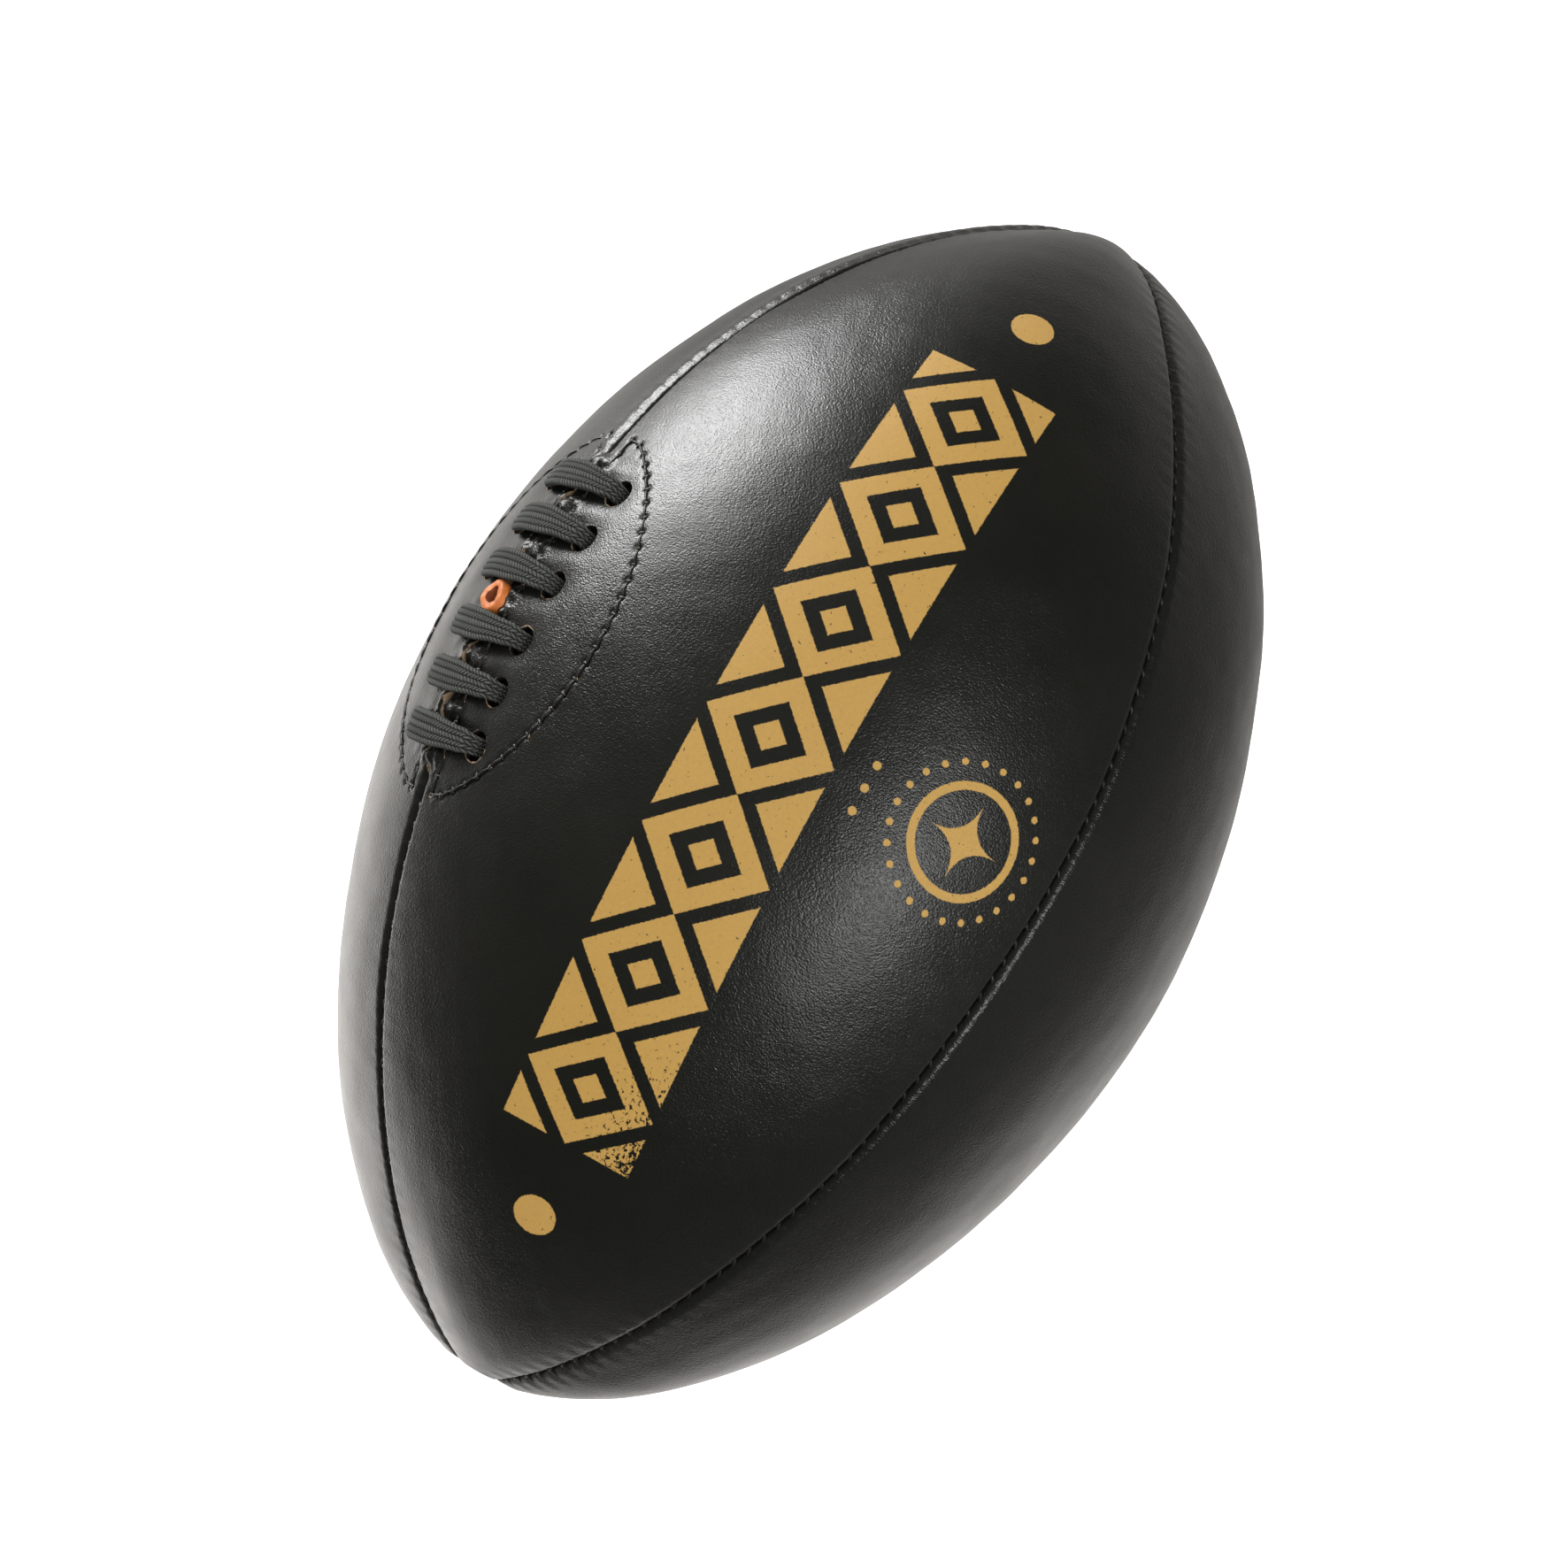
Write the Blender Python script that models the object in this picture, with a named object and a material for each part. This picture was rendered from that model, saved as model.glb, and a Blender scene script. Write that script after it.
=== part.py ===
"""A size 5 rugby ball of the laced leather kind, lying on its belly. Metres, +Z up.

The origin is the centre of the ball. The long axis is X. Four leather panels meet at four seams, which lie
halfway between the Y and Z axes. The printed panel faces up (+Z). The seam between it and the left panel (-Y)
is left open in the middle: the bladder went in there, and a lace closes it over the mouth of the valve tube.

Every layer is placed by skin(), which gives the point at a station x, an angle round the X axis (0 is +Z,
positive towards +Y) and a depth below the outer surface of the leather.
"""

from math import asin, cos, hypot, pi, radians, sin

import bmesh
import bpy
from mathutils import Matrix, Vector

# The ball's outline: a pointed ellipse, with a dimple where the panels meet at each end.
HALF_LENGTH = 0.148
RADIUS = 0.0926
BELLY_POWER = 1.894
END_POWER = 0.573
SEAM_VALLEY = 0.19
DIMPLE_DEPTH = 0.0022
DIMPLE_RADIUS = 0.009
TIP_RADIUS = 0.003

# Layers, as depths below the outer surface.
CLEARANCE = 0.00035
LEATHER = 0.0018
LINING_TOP, LINING_BOTTOM = 0.0021, 0.0027
FACING_TOP, FACING_BOTTOM = 0.00345, 0.0044
TONGUE_TOP, TONGUE_BOTTOM = 0.0063, 0.0072
BLADDER_TOP = 0.0044
BLADDER_DENT = 0.0036
BLADDER_WALL = 0.0009

# Seams.
SEAM_WIDTH = 0.003
SEAM_DEPTH = 0.002
SEAM_THREAD_RADIUS = 0.00045
SEAM_THREAD_DEPTH = 0.0012
SEAM_ANGLES = {"right": 45, "lower_right": 135, "lower_left": 225, "laced": 315}
LACED_SEAM = radians(315)

# The opening in the laced seam and what closes it.
SLIT_HALF_LENGTH = 0.0415
SLIT_HALF_WIDTH = 0.0012
SLIT_SPREAD_AT_VALVE = 0.0022
LACE_STATIONS = (-0.0307, -0.0187, -0.0068, 0.0068, 0.0187, 0.0307)
HOLE_ARC = 0.0138
HOLE_RADIUS = 0.0034
FACING_HALF_LENGTH = 0.0455
FACING_WIDTH = 0.0343
FACING_THREAD_RADIUS = 0.0004
FACING_THREAD_ARC = 0.0047
LACE_HALF_WIDTH, LACE_HALF_THICKNESS = 0.0035, 0.0008
LACE_HEIGHT = 0.0022
LACE_UNDER_DEPTH = 0.0053
LACE_BEND = 0.0018
TONGUE_HALF_LENGTH, TONGUE_HALF_WIDTH = 0.046, 0.013

# The valve tube.
TUBE_RADIUS, TUBE_BORE = 0.0029, 0.0014
TUBE_MOUTH_HEIGHT = 0.001
PATCH_HALF = 0.009

# How finely the shapes are divided.
PANEL_ROWS = 26
PANEL_COLUMNS = 8
BLADDER_SECTORS = 24
BLADDER_ROWS = 16

COLOURS = {
    "leather": ((0.012, 0.012, 0.011), 0.38),
    "canvas": ((0.55, 0.50, 0.40), 0.9),
    "facing_leather": ((0.30, 0.18, 0.09), 0.7),
    "thread": ((0.010, 0.010, 0.010), 0.45),
    "lace": ((0.030, 0.032, 0.030), 0.85),
    "bladder_rubber": ((0.045, 0.035, 0.030), 0.6),
    "valve_rubber": ((0.62, 0.17, 0.035), 0.55),
}


# ---------------------------------------------------------------- the outline

def outline(x):
    """The smooth outline's radius at x, and the unit normal (along X, outwards)."""
    s = min(abs(x) / HALF_LENGTH, 1 - 1e-9)
    body = 1 - s**BELLY_POWER
    radius = RADIUS * body**END_POWER
    slope = -RADIUS * END_POWER * body ** (END_POWER - 1) * BELLY_POWER * s ** (BELLY_POWER - 1) / HALF_LENGTH
    length = hypot(1, slope)
    sign = 1 if x >= 0 else -1
    return radius, -slope / length * sign, 1 / length


def skin(x, angle, depth=0.0):
    """A point under the outer surface."""
    radius, normal_x, normal_r = outline(x)
    s = abs(x) / HALF_LENGTH
    dimple = DIMPLE_DEPTH * max(0.0, 1 - (radius / DIMPLE_RADIUS) ** 2) ** 2
    valley = 1 - SEAM_VALLEY * s**4 * sin(2 * angle) ** 2
    along = x - (dimple if x > 0 else -dimple) - normal_x * depth
    r = radius * valley - normal_r * depth
    return Vector((along, r * sin(angle), r * cos(angle)))


def skin_axes(x, angle):
    """Unit vectors on the surface: along the ball, round it, and straight out of it."""
    _, normal_x, normal_r = outline(x)
    out = Vector((normal_x, normal_r * sin(angle), normal_r * cos(angle)))
    around = Vector((0, cos(angle), -sin(angle)))
    return around.cross(out), around, out


def rows(count):
    """Stations from end to end, closer towards the ends, with one more in each dimple."""
    end = HALF_LENGTH * (1 - (TIP_RADIUS / RADIUS) ** (1 / END_POWER)) ** (1 / BELLY_POWER)
    in_dimple = HALF_LENGTH * (1 - (2 * TIP_RADIUS / RADIUS) ** (1 / END_POWER)) ** (1 / BELLY_POWER)
    turn = asin(end / HALF_LENGTH)
    inner = [HALF_LENGTH * sin(turn * (2 * i / count - 1)) for i in range(1, count)]
    return [-end, -in_dimple] + inner + [in_dimple, end]


def laced_rows():
    """The stations of the two laced panels, closer beside the opening."""
    step = 0.0062
    beside = [step * i for i in range(-7, 8)]
    return sorted(beside + [x for x in rows(PANEL_ROWS) if abs(x) > beside[-1] + step / 2])


def slit_share(x):
    """1 in the middle of the opening, falling to 0 at its ends."""
    return max(0.0, 1 - (x / SLIT_HALF_LENGTH) ** 2)


def slit_half_width(x):
    spread = max(0.0, 1 - (x / (3 * TUBE_RADIUS)) ** 2)
    return SLIT_HALF_WIDTH * slit_share(x) ** 0.5 + SLIT_SPREAD_AT_VALVE * spread


def facing_width(x, half_length=FACING_HALF_LENGTH, width=FACING_WIDTH):
    """How far the D of the lace facing reaches from the seam."""
    return width * max(0.0, 1 - (x / half_length) ** 2) ** 0.65


# ------------------------------------------------------------- making objects

def material(name):
    found = bpy.data.materials.get(name)
    if found:
        return found
    colour, roughness = COLOURS[name]
    made = bpy.data.materials.new(name)
    made.use_nodes = True
    shader = made.node_tree.nodes["Principled BSDF"]
    shader.inputs["Base Color"].default_value = (*colour, 1)
    shader.inputs["Roughness"].default_value = roughness
    shader.inputs["Metallic"].default_value = 0
    return made


def add_object(name, mesh_builder, material_name, collection):
    mesh = bpy.data.meshes.new(name)
    bmesh.ops.recalc_face_normals(mesh_builder, faces=mesh_builder.faces)
    mesh_builder.to_mesh(mesh)
    mesh_builder.free()
    obj = bpy.data.objects.new(name, mesh)
    if material_name:
        mesh.materials.append(material(material_name))
    collection.objects.link(obj)
    return obj


def shell(name, outer, inner, material_name, collection):
    """A closed curved plate lofted between two grids of points of the same size."""
    bm = bmesh.new()
    top = [[bm.verts.new(p) for p in row] for row in outer]
    bottom = [[bm.verts.new(p) for p in row] for row in inner]
    last_row, last_column = len(top) - 1, len(top[0]) - 1
    for grid in (top, bottom):
        for i in range(last_row):
            for j in range(last_column):
                bm.faces.new((grid[i][j], grid[i][j + 1], grid[i + 1][j + 1], grid[i + 1][j]))
    for i in range(last_row):
        for j in (0, last_column):
            bm.faces.new((top[i][j], top[i + 1][j], bottom[i + 1][j], bottom[i][j]))
    for j in range(last_column):
        for i in (0, last_row):
            bm.faces.new((top[i][j], top[i][j + 1], bottom[i][j + 1], bottom[i][j]))
    return add_object(name, bm, material_name, collection)


def sweep(name, sections, material_name, collection, closed=False):
    """A solid through rings of points, capped at both ends unless it closes on itself."""
    bm = bmesh.new()
    rings = [[bm.verts.new(p) for p in ring] for ring in sections]
    pairs = list(zip(rings, rings[1:]))
    if closed:
        pairs.append((rings[-1], rings[0]))
    for here, there in pairs:
        for k in range(len(here)):
            n = (k + 1) % len(here)
            bm.faces.new((here[k], here[n], there[n], there[k]))
    if not closed:
        bm.faces.new(rings[0])
        bm.faces.new(rings[-1])
    return add_object(name, bm, material_name, collection)


def cylinder(name, radius, depth, centre, direction, collection, material_name=None, sides=16):
    bm = bmesh.new()
    turn = Vector((0, 0, 1)).rotation_difference(direction).to_matrix().to_4x4()
    bmesh.ops.create_cone(bm, cap_ends=True, segments=sides, radius1=radius, radius2=radius, depth=depth,
                          matrix=Matrix.Translation(centre) @ turn)
    return add_object(name, bm, material_name, collection)


def cut(obj, cutter):
    modifier = obj.modifiers.new(f"cut {cutter.name}", "BOOLEAN")
    modifier.operation = "DIFFERENCE"
    modifier.solver = "EXACT"
    modifier.object = cutter
    cutter.hide_render = True
    cutter.display_type = "WIRE"


# ----------------------------------------------------------- panels and lining

def panel_edges(x, distances, laced_side, centre):
    """The angles, seam to seam, of columns at the given distances from each seam, with the middle between."""
    valley_radius = hypot(*skin(x, radians(45))[1:])
    narrow = min(1.0, valley_radius / 0.012)
    angles = []
    for side in (-1, 1):
        opening = slit_half_width(x) if side == laced_side else 0.0
        for distance in distances:
            off = CLEARANCE + opening + (distance - CLEARANCE) * narrow
            angles.append((side, centre + side * (radians(45) - asin(off / valley_radius))))
    left = [a for side, a in angles if side < 0]
    right = [a for side, a in angles if side > 0][::-1]
    middle = [left[-1] + (right[0] - left[-1]) * i / PANEL_COLUMNS for i in range(1, PANEL_COLUMNS)]
    return left + middle + right


def groove(column, columns, x, laced_side):
    """How far a panel's edge rolls in at a seam, which it doesn't do beside the opening."""
    from_edge = min(column, columns - 1 - column)
    side = -1 if column < columns / 2 else 1
    share = (1.0, 0.5)[from_edge] if from_edge < 2 else 0.0
    if side == laced_side:
        share *= 1 - min(1.0, 2 * slit_share(x))
    return SEAM_DEPTH * share


def layer(name, x_list, distances, depths, rolled, laced_side, centre, material_name, collection):
    grids = []
    for depth in depths:
        grid = []
        for x in x_list:
            angles = panel_edges(x, distances, laced_side, centre)
            roll = [groove(j, len(angles), x, laced_side) if rolled else 0.0 for j in range(len(angles))]
            grid.append([skin(x, angle, depth + more) for angle, more in zip(angles, roll)])
        grids.append(grid)
    return shell(name, *grids, material_name, collection)


def panel_and_lining(place, centre, laced_side, parts):
    x_list = laced_rows() if laced_side else rows(PANEL_ROWS)
    edge_columns = (CLEARANCE, 0.0012, SEAM_WIDTH)
    panel = layer(f"panel_{place}", x_list, edge_columns, (0.0, LEATHER), True, laced_side, centre,
                  "leather", parts)
    lining = layer(f"lining_{place}", x_list[2:-2:2], (SEAM_WIDTH,), (LINING_TOP, LINING_BOTTOM), False,
                   laced_side, centre, "canvas", parts)
    return panel, lining


# ------------------------------------------------------------- the laced opening

def facing(side, place, parts):
    """The D-shaped leather piece behind the lace holes of one panel."""
    grids = []
    half = FACING_HALF_LENGTH + 0.0005
    for depth in (FACING_TOP, FACING_BOTTOM):
        grid = []
        for i in range(15):
            x = half * (i / 7 - 1)
            start = slit_half_width(x) + 0.0008
            stop = facing_width(x, FACING_HALF_LENGTH + 0.0025, FACING_WIDTH + 0.0015)
            radius = outline(x)[0]
            arcs = [start + (stop - start) * j / 5 for j in range(6)]
            grid.append([skin(x, LACED_SEAM + side * arc / radius, depth) for arc in arcs])
        grids.append(grid)
    return shell(f"lace_facing_{place}", *grids, "facing_leather", parts)


def hole_cutter(side, place, cutters):
    """Six posts, one for each lace hole of a panel."""
    bm = bmesh.new()
    for x in LACE_STATIONS:
        angle = LACED_SEAM + side * HOLE_ARC / outline(x)[0]
        out = skin_axes(x, angle)[2]
        turn = Vector((0, 0, 1)).rotation_difference(out).to_matrix().to_4x4()
        bmesh.ops.create_cone(bm, cap_ends=True, segments=12, radius1=HOLE_RADIUS, radius2=HOLE_RADIUS,
                              depth=0.02, matrix=Matrix.Translation(skin(x, angle)) @ turn)
    return add_object(f"holes_{place}", bm, None, cutters)


def round_section(centre, across, up, radius, sides=5):
    turns = [2 * pi * k / sides for k in range(sides)]
    return [centre + across * (radius * cos(a)) + up * (radius * sin(a)) for a in turns]


def seam_thread(name, angle, x_list, parts):
    sections = []
    for x in x_list:
        _, around, out = skin_axes(x, angle)
        sections.append(round_section(skin(x, angle, SEAM_THREAD_DEPTH), around, out, SEAM_THREAD_RADIUS))
    return sweep(name, sections, "thread", parts)


def facing_thread(side, place, parts):
    """The stitching round a facing's D: straight beside the opening, then back along the curve."""
    straight_half = 0.0425
    straight = [(straight_half * (i / 5 - 1), FACING_THREAD_ARC) for i in range(11)]
    curve = []
    for i in range(1, 22):
        x = straight_half * cos(pi * i / 22)
        curve.append((x, max(facing_width(x), FACING_THREAD_ARC + 0.001)))
    points = []
    for x, arc in straight + curve:
        points.append((x, LACED_SEAM + side * arc / outline(x)[0]))
    height = 0.0003 + FACING_THREAD_RADIUS
    centres = [skin(x, angle, -height) for x, angle in points]
    sections = []
    for i, (x, angle) in enumerate(points):
        along = (centres[(i + 1) % len(points)] - centres[i - 1]).normalized()
        out = skin_axes(x, angle)[2]
        sections.append(round_section(centres[i], along.cross(out), out, FACING_THREAD_RADIUS))
    return sweep(f"facing_thread_{place}", sections, "thread", parts, closed=True)


def lace_route():
    """The lace's middle line from tail to tail, as (x, arc from the seam, depth, how wide it is spread).

    It crosses the opening on top at each station, from the right hole (+) to the left one (-), then goes
    down through the left hole and slants back underneath to the next right hole.
    """
    drop = LACE_UNDER_DEPTH + LACE_HEIGHT
    bend = [(LACE_BEND * sin(a), LACE_BEND * (1 - cos(a))) for a in (0.0, pi / 4, pi / 2)]
    low = [(arc, drop - fall) for arc, fall in bend][::-1]
    hook = [(arc, fall - LACE_HEIGHT) for arc, fall in bend + low]
    spread = [1.0, 0.85, 0.65, 0.65, 0.65, 0.65]
    start = HOLE_ARC - LACE_BEND
    under = 8
    route = []
    first, last = LACE_STATIONS[0], LACE_STATIONS[-1]
    route += [(first, arc, LACE_UNDER_DEPTH, 0.65) for arc in (0.003, 0.007, 0.011)]
    for number, x in enumerate(LACE_STATIONS):
        up = [(x, start + arc, depth, wide) for (arc, depth), wide in zip(hook, spread)][::-1]
        over = [(x, start * (1 - i / 3), -LACE_HEIGHT, 1.0) for i in range(1, 6)]
        down = [(x, -start - arc, depth, wide) for (arc, depth), wide in zip(hook, spread)]
        route += up + over + down
        if x == last:
            break
        step = LACE_STATIONS[number + 1] - x
        passes_valve = x < 0 < x + step
        for i in range(1, under):
            share = i / under
            slant = min(1.0, share / 0.4) if passes_valve else share
            smooth = slant * slant * (3 - 2 * slant)
            route.append((x + step * smooth, start * (2 * share - 1), LACE_UNDER_DEPTH, 0.65))
    route += [(last, -arc, LACE_UNDER_DEPTH, 0.65) for arc in (0.011, 0.007, 0.003)]
    return route


def lace(parts):
    """One flat lace, all the way through its twelve holes, with both tails tucked underneath."""
    route = lace_route()
    centres = []
    for x, arc, depth, _ in route:
        centres.append(skin(x, LACED_SEAM + arc / outline(x)[0], depth))
    sections = []
    for i, (x, arc, _, spread) in enumerate(route):
        before, after = centres[max(i - 1, 0)], centres[min(i + 1, len(route) - 1)]
        along = (after - before).normalized()
        lengthwise = skin_axes(x, LACED_SEAM + arc / outline(x)[0])[0]
        across = (lengthwise - along * along.dot(lengthwise)).normalized()
        up = along.cross(across)
        wide = LACE_HALF_WIDTH * spread
        thick = LACE_HALF_THICKNESS * (0.5 + 0.5 * spread)
        flat = wide - thick
        corners = ((wide, 0), (flat, thick), (-flat, thick), (-wide, 0), (-flat, -thick), (flat, -thick))
        sections.append([centres[i] + across * a + up * b for a, b in corners])
    return sweep("lace", sections, "lace", parts)


def tongue(parts):
    """The leather flap that keeps the lace off the bladder."""
    grids = []
    for depth in (TONGUE_TOP, TONGUE_BOTTOM):
        grid = []
        for i in range(17):
            x = TONGUE_HALF_LENGTH * sin(pi / 2 * (i / 8 - 1))
            half = TONGUE_HALF_WIDTH * (0.35 + 0.65 * (1 - (x / TONGUE_HALF_LENGTH) ** 4) ** 0.5)
            radius = outline(x)[0]
            grid.append([skin(x, LACED_SEAM + half * (j / 3 - 1) / radius, depth) for j in range(7)])
        grids.append(grid)
    return shell("tongue", *grids, "facing_leather", parts)


# ------------------------------------------------------------ bladder and valve

def dent(x, angle):
    """How far the bladder is pressed in under the lacing."""
    off_seam = (angle - LACED_SEAM + pi) % (2 * pi) - pi
    along = min(1.0, max(0.0, (0.085 - abs(x)) / 0.03))
    around = min(1.0, max(0.0, (radians(34) - abs(off_seam)) / radians(16)))
    return BLADDER_DENT * along * around


def balloon_station(row):
    return HALF_LENGTH * 0.985 * sin(pi / 2 * 0.985 * (2 * row / BLADDER_ROWS - 1))


def balloon(name, depth, material_name, collection):
    """A closed form that follows the leather at a depth, dented under the lacing."""
    sections = []
    for row in range(BLADDER_ROWS + 1):
        x = balloon_station(row)
        ring = []
        for k in range(BLADDER_SECTORS):
            angle = LACED_SEAM + 2 * pi * k / BLADDER_SECTORS
            ring.append(skin(x, angle, depth + dent(x, angle)))
        sections.append(ring)
    return sweep(name, sections, material_name, collection)


def valve_patch(top, bottom, parts):
    """The square rubber patch inside the bladder, bent to lie along its faces round the neck."""
    far_x = balloon_station(BLADDER_ROWS // 2 + 1)
    far_angle = 2 * pi / BLADDER_SECTORS
    grids = []
    for depth in (top, bottom):
        middle = skin(0, LACED_SEAM, depth)
        grid = []
        for i in (-1, 0, 1):
            ahead = middle.lerp(skin(i * far_x, LACED_SEAM, depth), PATCH_HALF / far_x)
            row = []
            for j in (-1, 0, 1):
                side = skin(0, LACED_SEAM + j * far_angle, depth)
                row.append(ahead + (side - middle) * (PATCH_HALF / (far_angle * RADIUS)))
            grid.append(row)
        grids.append(grid)
    return shell("valve_patch", *grids, "valve_rubber", parts)


def bladder_and_valve(parts, cutters):
    out = skin_axes(0, LACED_SEAM)[2]
    wall_top = BLADDER_TOP + BLADDER_DENT
    patch_top = wall_top + BLADDER_WALL + 0.0004
    patch_bottom = patch_top + 0.001

    def post(name, radius, low, high, collection, **more):
        middle = skin(0, LACED_SEAM, (low + high) / 2)
        return cylinder(name, radius, low - high, middle, out, collection, **more)

    neck = post("bladder_neck", TUBE_RADIUS + CLEARANCE, 0.02, 0, cutters)
    bladder = balloon("bladder", BLADDER_TOP, "bladder_rubber", parts)
    cut(bladder, balloon("bladder_air", BLADDER_TOP + BLADDER_WALL, None, cutters))
    cut(bladder, neck)
    cut(valve_patch(patch_top, patch_bottom, parts), neck)
    tube = post("valve_tube", TUBE_RADIUS, patch_bottom, -TUBE_MOUTH_HEIGHT, parts,
                material_name="valve_rubber", sides=20)
    cut(tube, post("valve_bore", TUBE_BORE, 0.02, -0.01, cutters, sides=14))


def build():
    for old in list(bpy.data.objects):
        bpy.data.objects.remove(old, do_unlink=True)
    parts = bpy.data.collections.new("rugby_ball")
    cutters = bpy.data.collections.new("cutters")
    for collection in (parts, cutters):
        bpy.context.scene.collection.children.link(collection)

    places = {"top": (0, -1), "right": (90, 0), "bottom": (180, 0), "left": (270, 1)}
    made = {}
    for place, (degrees, laced_side) in places.items():
        made[place] = panel_and_lining(place, radians(degrees), laced_side, parts)

    for place, side in (("top", 1), ("left", -1)):
        holes = hole_cutter(side, place, cutters)
        for punched in (*made[place], facing(side, place, parts)):
            cut(punched, holes)
        facing_thread(side, place, parts)

    stations = rows(PANEL_ROWS)[2:-2]
    for place, degrees in SEAM_ANGLES.items():
        if place != "laced":
            seam_thread(f"seam_thread_{place}", radians(degrees), stations, parts)
    beyond = [x for x in laced_rows()[2:-2] if abs(x) > FACING_HALF_LENGTH]
    seam_thread("seam_thread_laced_front", LACED_SEAM, [x for x in beyond if x > 0], parts)
    seam_thread("seam_thread_laced_back", LACED_SEAM, [x for x in beyond if x < 0], parts)

    lace(parts)
    flap = tongue(parts)
    tube_way = cylinder("tongue_hole", TUBE_RADIUS + CLEARANCE, 0.01, skin(0, LACED_SEAM, TONGUE_TOP),
                        skin_axes(0, LACED_SEAM)[2], cutters)
    cut(flap, tube_way)
    bladder_and_valve(parts, cutters)


build()
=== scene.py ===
"""The looks of the laced leather rugby ball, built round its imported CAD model. Metres, +Z up.

The CAD gives the ball's box, its layers and the places of the lace holes. Here the four panels,
the stitching, the lace and the valve tube are made again with their real surfaces: rolled and
puckered seams, back stitches that pull into the hide, a braided lace and a pinched rubber tube.
"""

from math import cos, pi, radians, sin, tau

import bmesh
import bpy
import numpy as np
from mathutils import Matrix, Vector


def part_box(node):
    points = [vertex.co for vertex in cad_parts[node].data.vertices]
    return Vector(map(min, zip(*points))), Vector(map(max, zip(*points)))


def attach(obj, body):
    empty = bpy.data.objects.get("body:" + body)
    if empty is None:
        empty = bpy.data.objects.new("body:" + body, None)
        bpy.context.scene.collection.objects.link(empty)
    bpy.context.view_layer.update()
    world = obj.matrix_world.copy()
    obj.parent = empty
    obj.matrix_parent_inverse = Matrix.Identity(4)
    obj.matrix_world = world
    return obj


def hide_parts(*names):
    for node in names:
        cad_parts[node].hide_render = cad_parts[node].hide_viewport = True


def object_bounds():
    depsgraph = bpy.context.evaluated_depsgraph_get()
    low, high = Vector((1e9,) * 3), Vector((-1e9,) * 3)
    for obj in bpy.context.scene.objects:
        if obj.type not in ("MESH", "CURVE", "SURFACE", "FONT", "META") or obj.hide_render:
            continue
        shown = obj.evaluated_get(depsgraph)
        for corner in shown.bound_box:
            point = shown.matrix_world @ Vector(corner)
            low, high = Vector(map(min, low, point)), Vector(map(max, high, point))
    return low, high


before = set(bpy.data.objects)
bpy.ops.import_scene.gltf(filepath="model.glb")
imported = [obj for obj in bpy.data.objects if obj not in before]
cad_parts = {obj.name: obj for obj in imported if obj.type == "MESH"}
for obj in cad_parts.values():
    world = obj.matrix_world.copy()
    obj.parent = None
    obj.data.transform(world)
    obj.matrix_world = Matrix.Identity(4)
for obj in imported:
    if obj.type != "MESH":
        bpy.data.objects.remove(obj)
cad_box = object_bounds()

MM = 0.001
rng = np.random.default_rng(5)

# The outline that the CAD's panels follow: a pointed ellipse with a dimple at each end.
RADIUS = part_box("panel_top")[1][2]
HALF_LENGTH = 148 * MM
BELLY_POWER, END_POWER = 1.894, 0.573
SEAM_VALLEY = 0.19
DIMPLE_DEPTH, DIMPLE_RADIUS = 2.2 * MM, 9 * MM
TIP_RADIUS = 3 * MM
LEATHER = 1.8 * MM
LACED_SEAM = radians(315)
HALF_PANEL = radians(45)

# The lacing, where the CAD has it.
LACE_STATIONS = np.array((-30.7, -18.7, -6.8, 6.8, 18.7, 30.7)) * MM
HOLE_ARC, HOLE_RADIUS = 13.8 * MM, 3.4 * MM
SLIT_HALF_LENGTH = 41.5 * MM
FACING_HALF_LENGTH, FACING_WIDTH = 45.5 * MM, 34.3 * MM
TUBE_RADIUS = 2.9 * MM

# Stitching.
SEAM_PITCH = 4.3 * MM
SEAM_ROLL = 2.1 * MM
BACK_STITCH = 3.9 * MM

# The lace is a flat braid with this many ribs on its face.
RIBS = 5


# ------------------------------------------------------------------ the surface

def outline(x):
    """Radius of the smooth outline at x, and the outward normal's parts along X and away from it."""
    s = np.minimum(np.abs(x) / HALF_LENGTH, 1 - 1e-9)
    body = 1 - s**BELLY_POWER
    radius = RADIUS * body**END_POWER
    slope = RADIUS / HALF_LENGTH * END_POWER * body ** (END_POWER - 1)
    slope = slope * BELLY_POWER * s ** (BELLY_POWER - 1)
    length = np.hypot(1, slope)
    return radius, np.sign(x) * slope / length, 1 / length


def skin(x, angle, depth=0.0):
    """Points at a depth under the smooth outer surface. Angles run round X from +Z towards +Y."""
    x, angle, depth = np.broadcast_arrays(np.asarray(x, float), angle, depth)
    radius, normal_x, normal_r = outline(x)
    dimple = DIMPLE_DEPTH * np.maximum(0, 1 - (radius / DIMPLE_RADIUS) ** 2) ** 2
    valley = 1 - SEAM_VALLEY * (np.abs(x) / HALF_LENGTH) ** 4 * np.sin(2 * angle) ** 2
    along = x - np.sign(x) * dimple - normal_x * depth
    r = radius * valley - normal_r * depth
    return np.stack((along, r * np.sin(angle), r * np.cos(angle)), axis=-1)


def skin_axes(x, angle):
    """Unit vectors on the surface: along the ball, round it, and straight out of it."""
    _, normal_x, normal_r = outline(np.float64(x))
    out = Vector((normal_x, normal_r * sin(angle), normal_r * cos(angle)))
    around = Vector((0, cos(angle), -sin(angle)))
    return around.cross(out), around, out


def meridian_table():
    """Stations along X and the distance walked on the surface from the ball's middle to each."""
    end = HALF_LENGTH * (1 - (TIP_RADIUS / RADIUS) ** (1 / END_POWER)) ** (1 / BELLY_POWER)
    x = end * np.sin(np.linspace(-1, 1, 8001) * pi / 2)
    radius = outline(x)[0]
    walked = np.concatenate(([0], np.cumsum(np.hypot(np.diff(x), np.diff(radius)))))
    return x, walked - walked[-1] / 2


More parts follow.
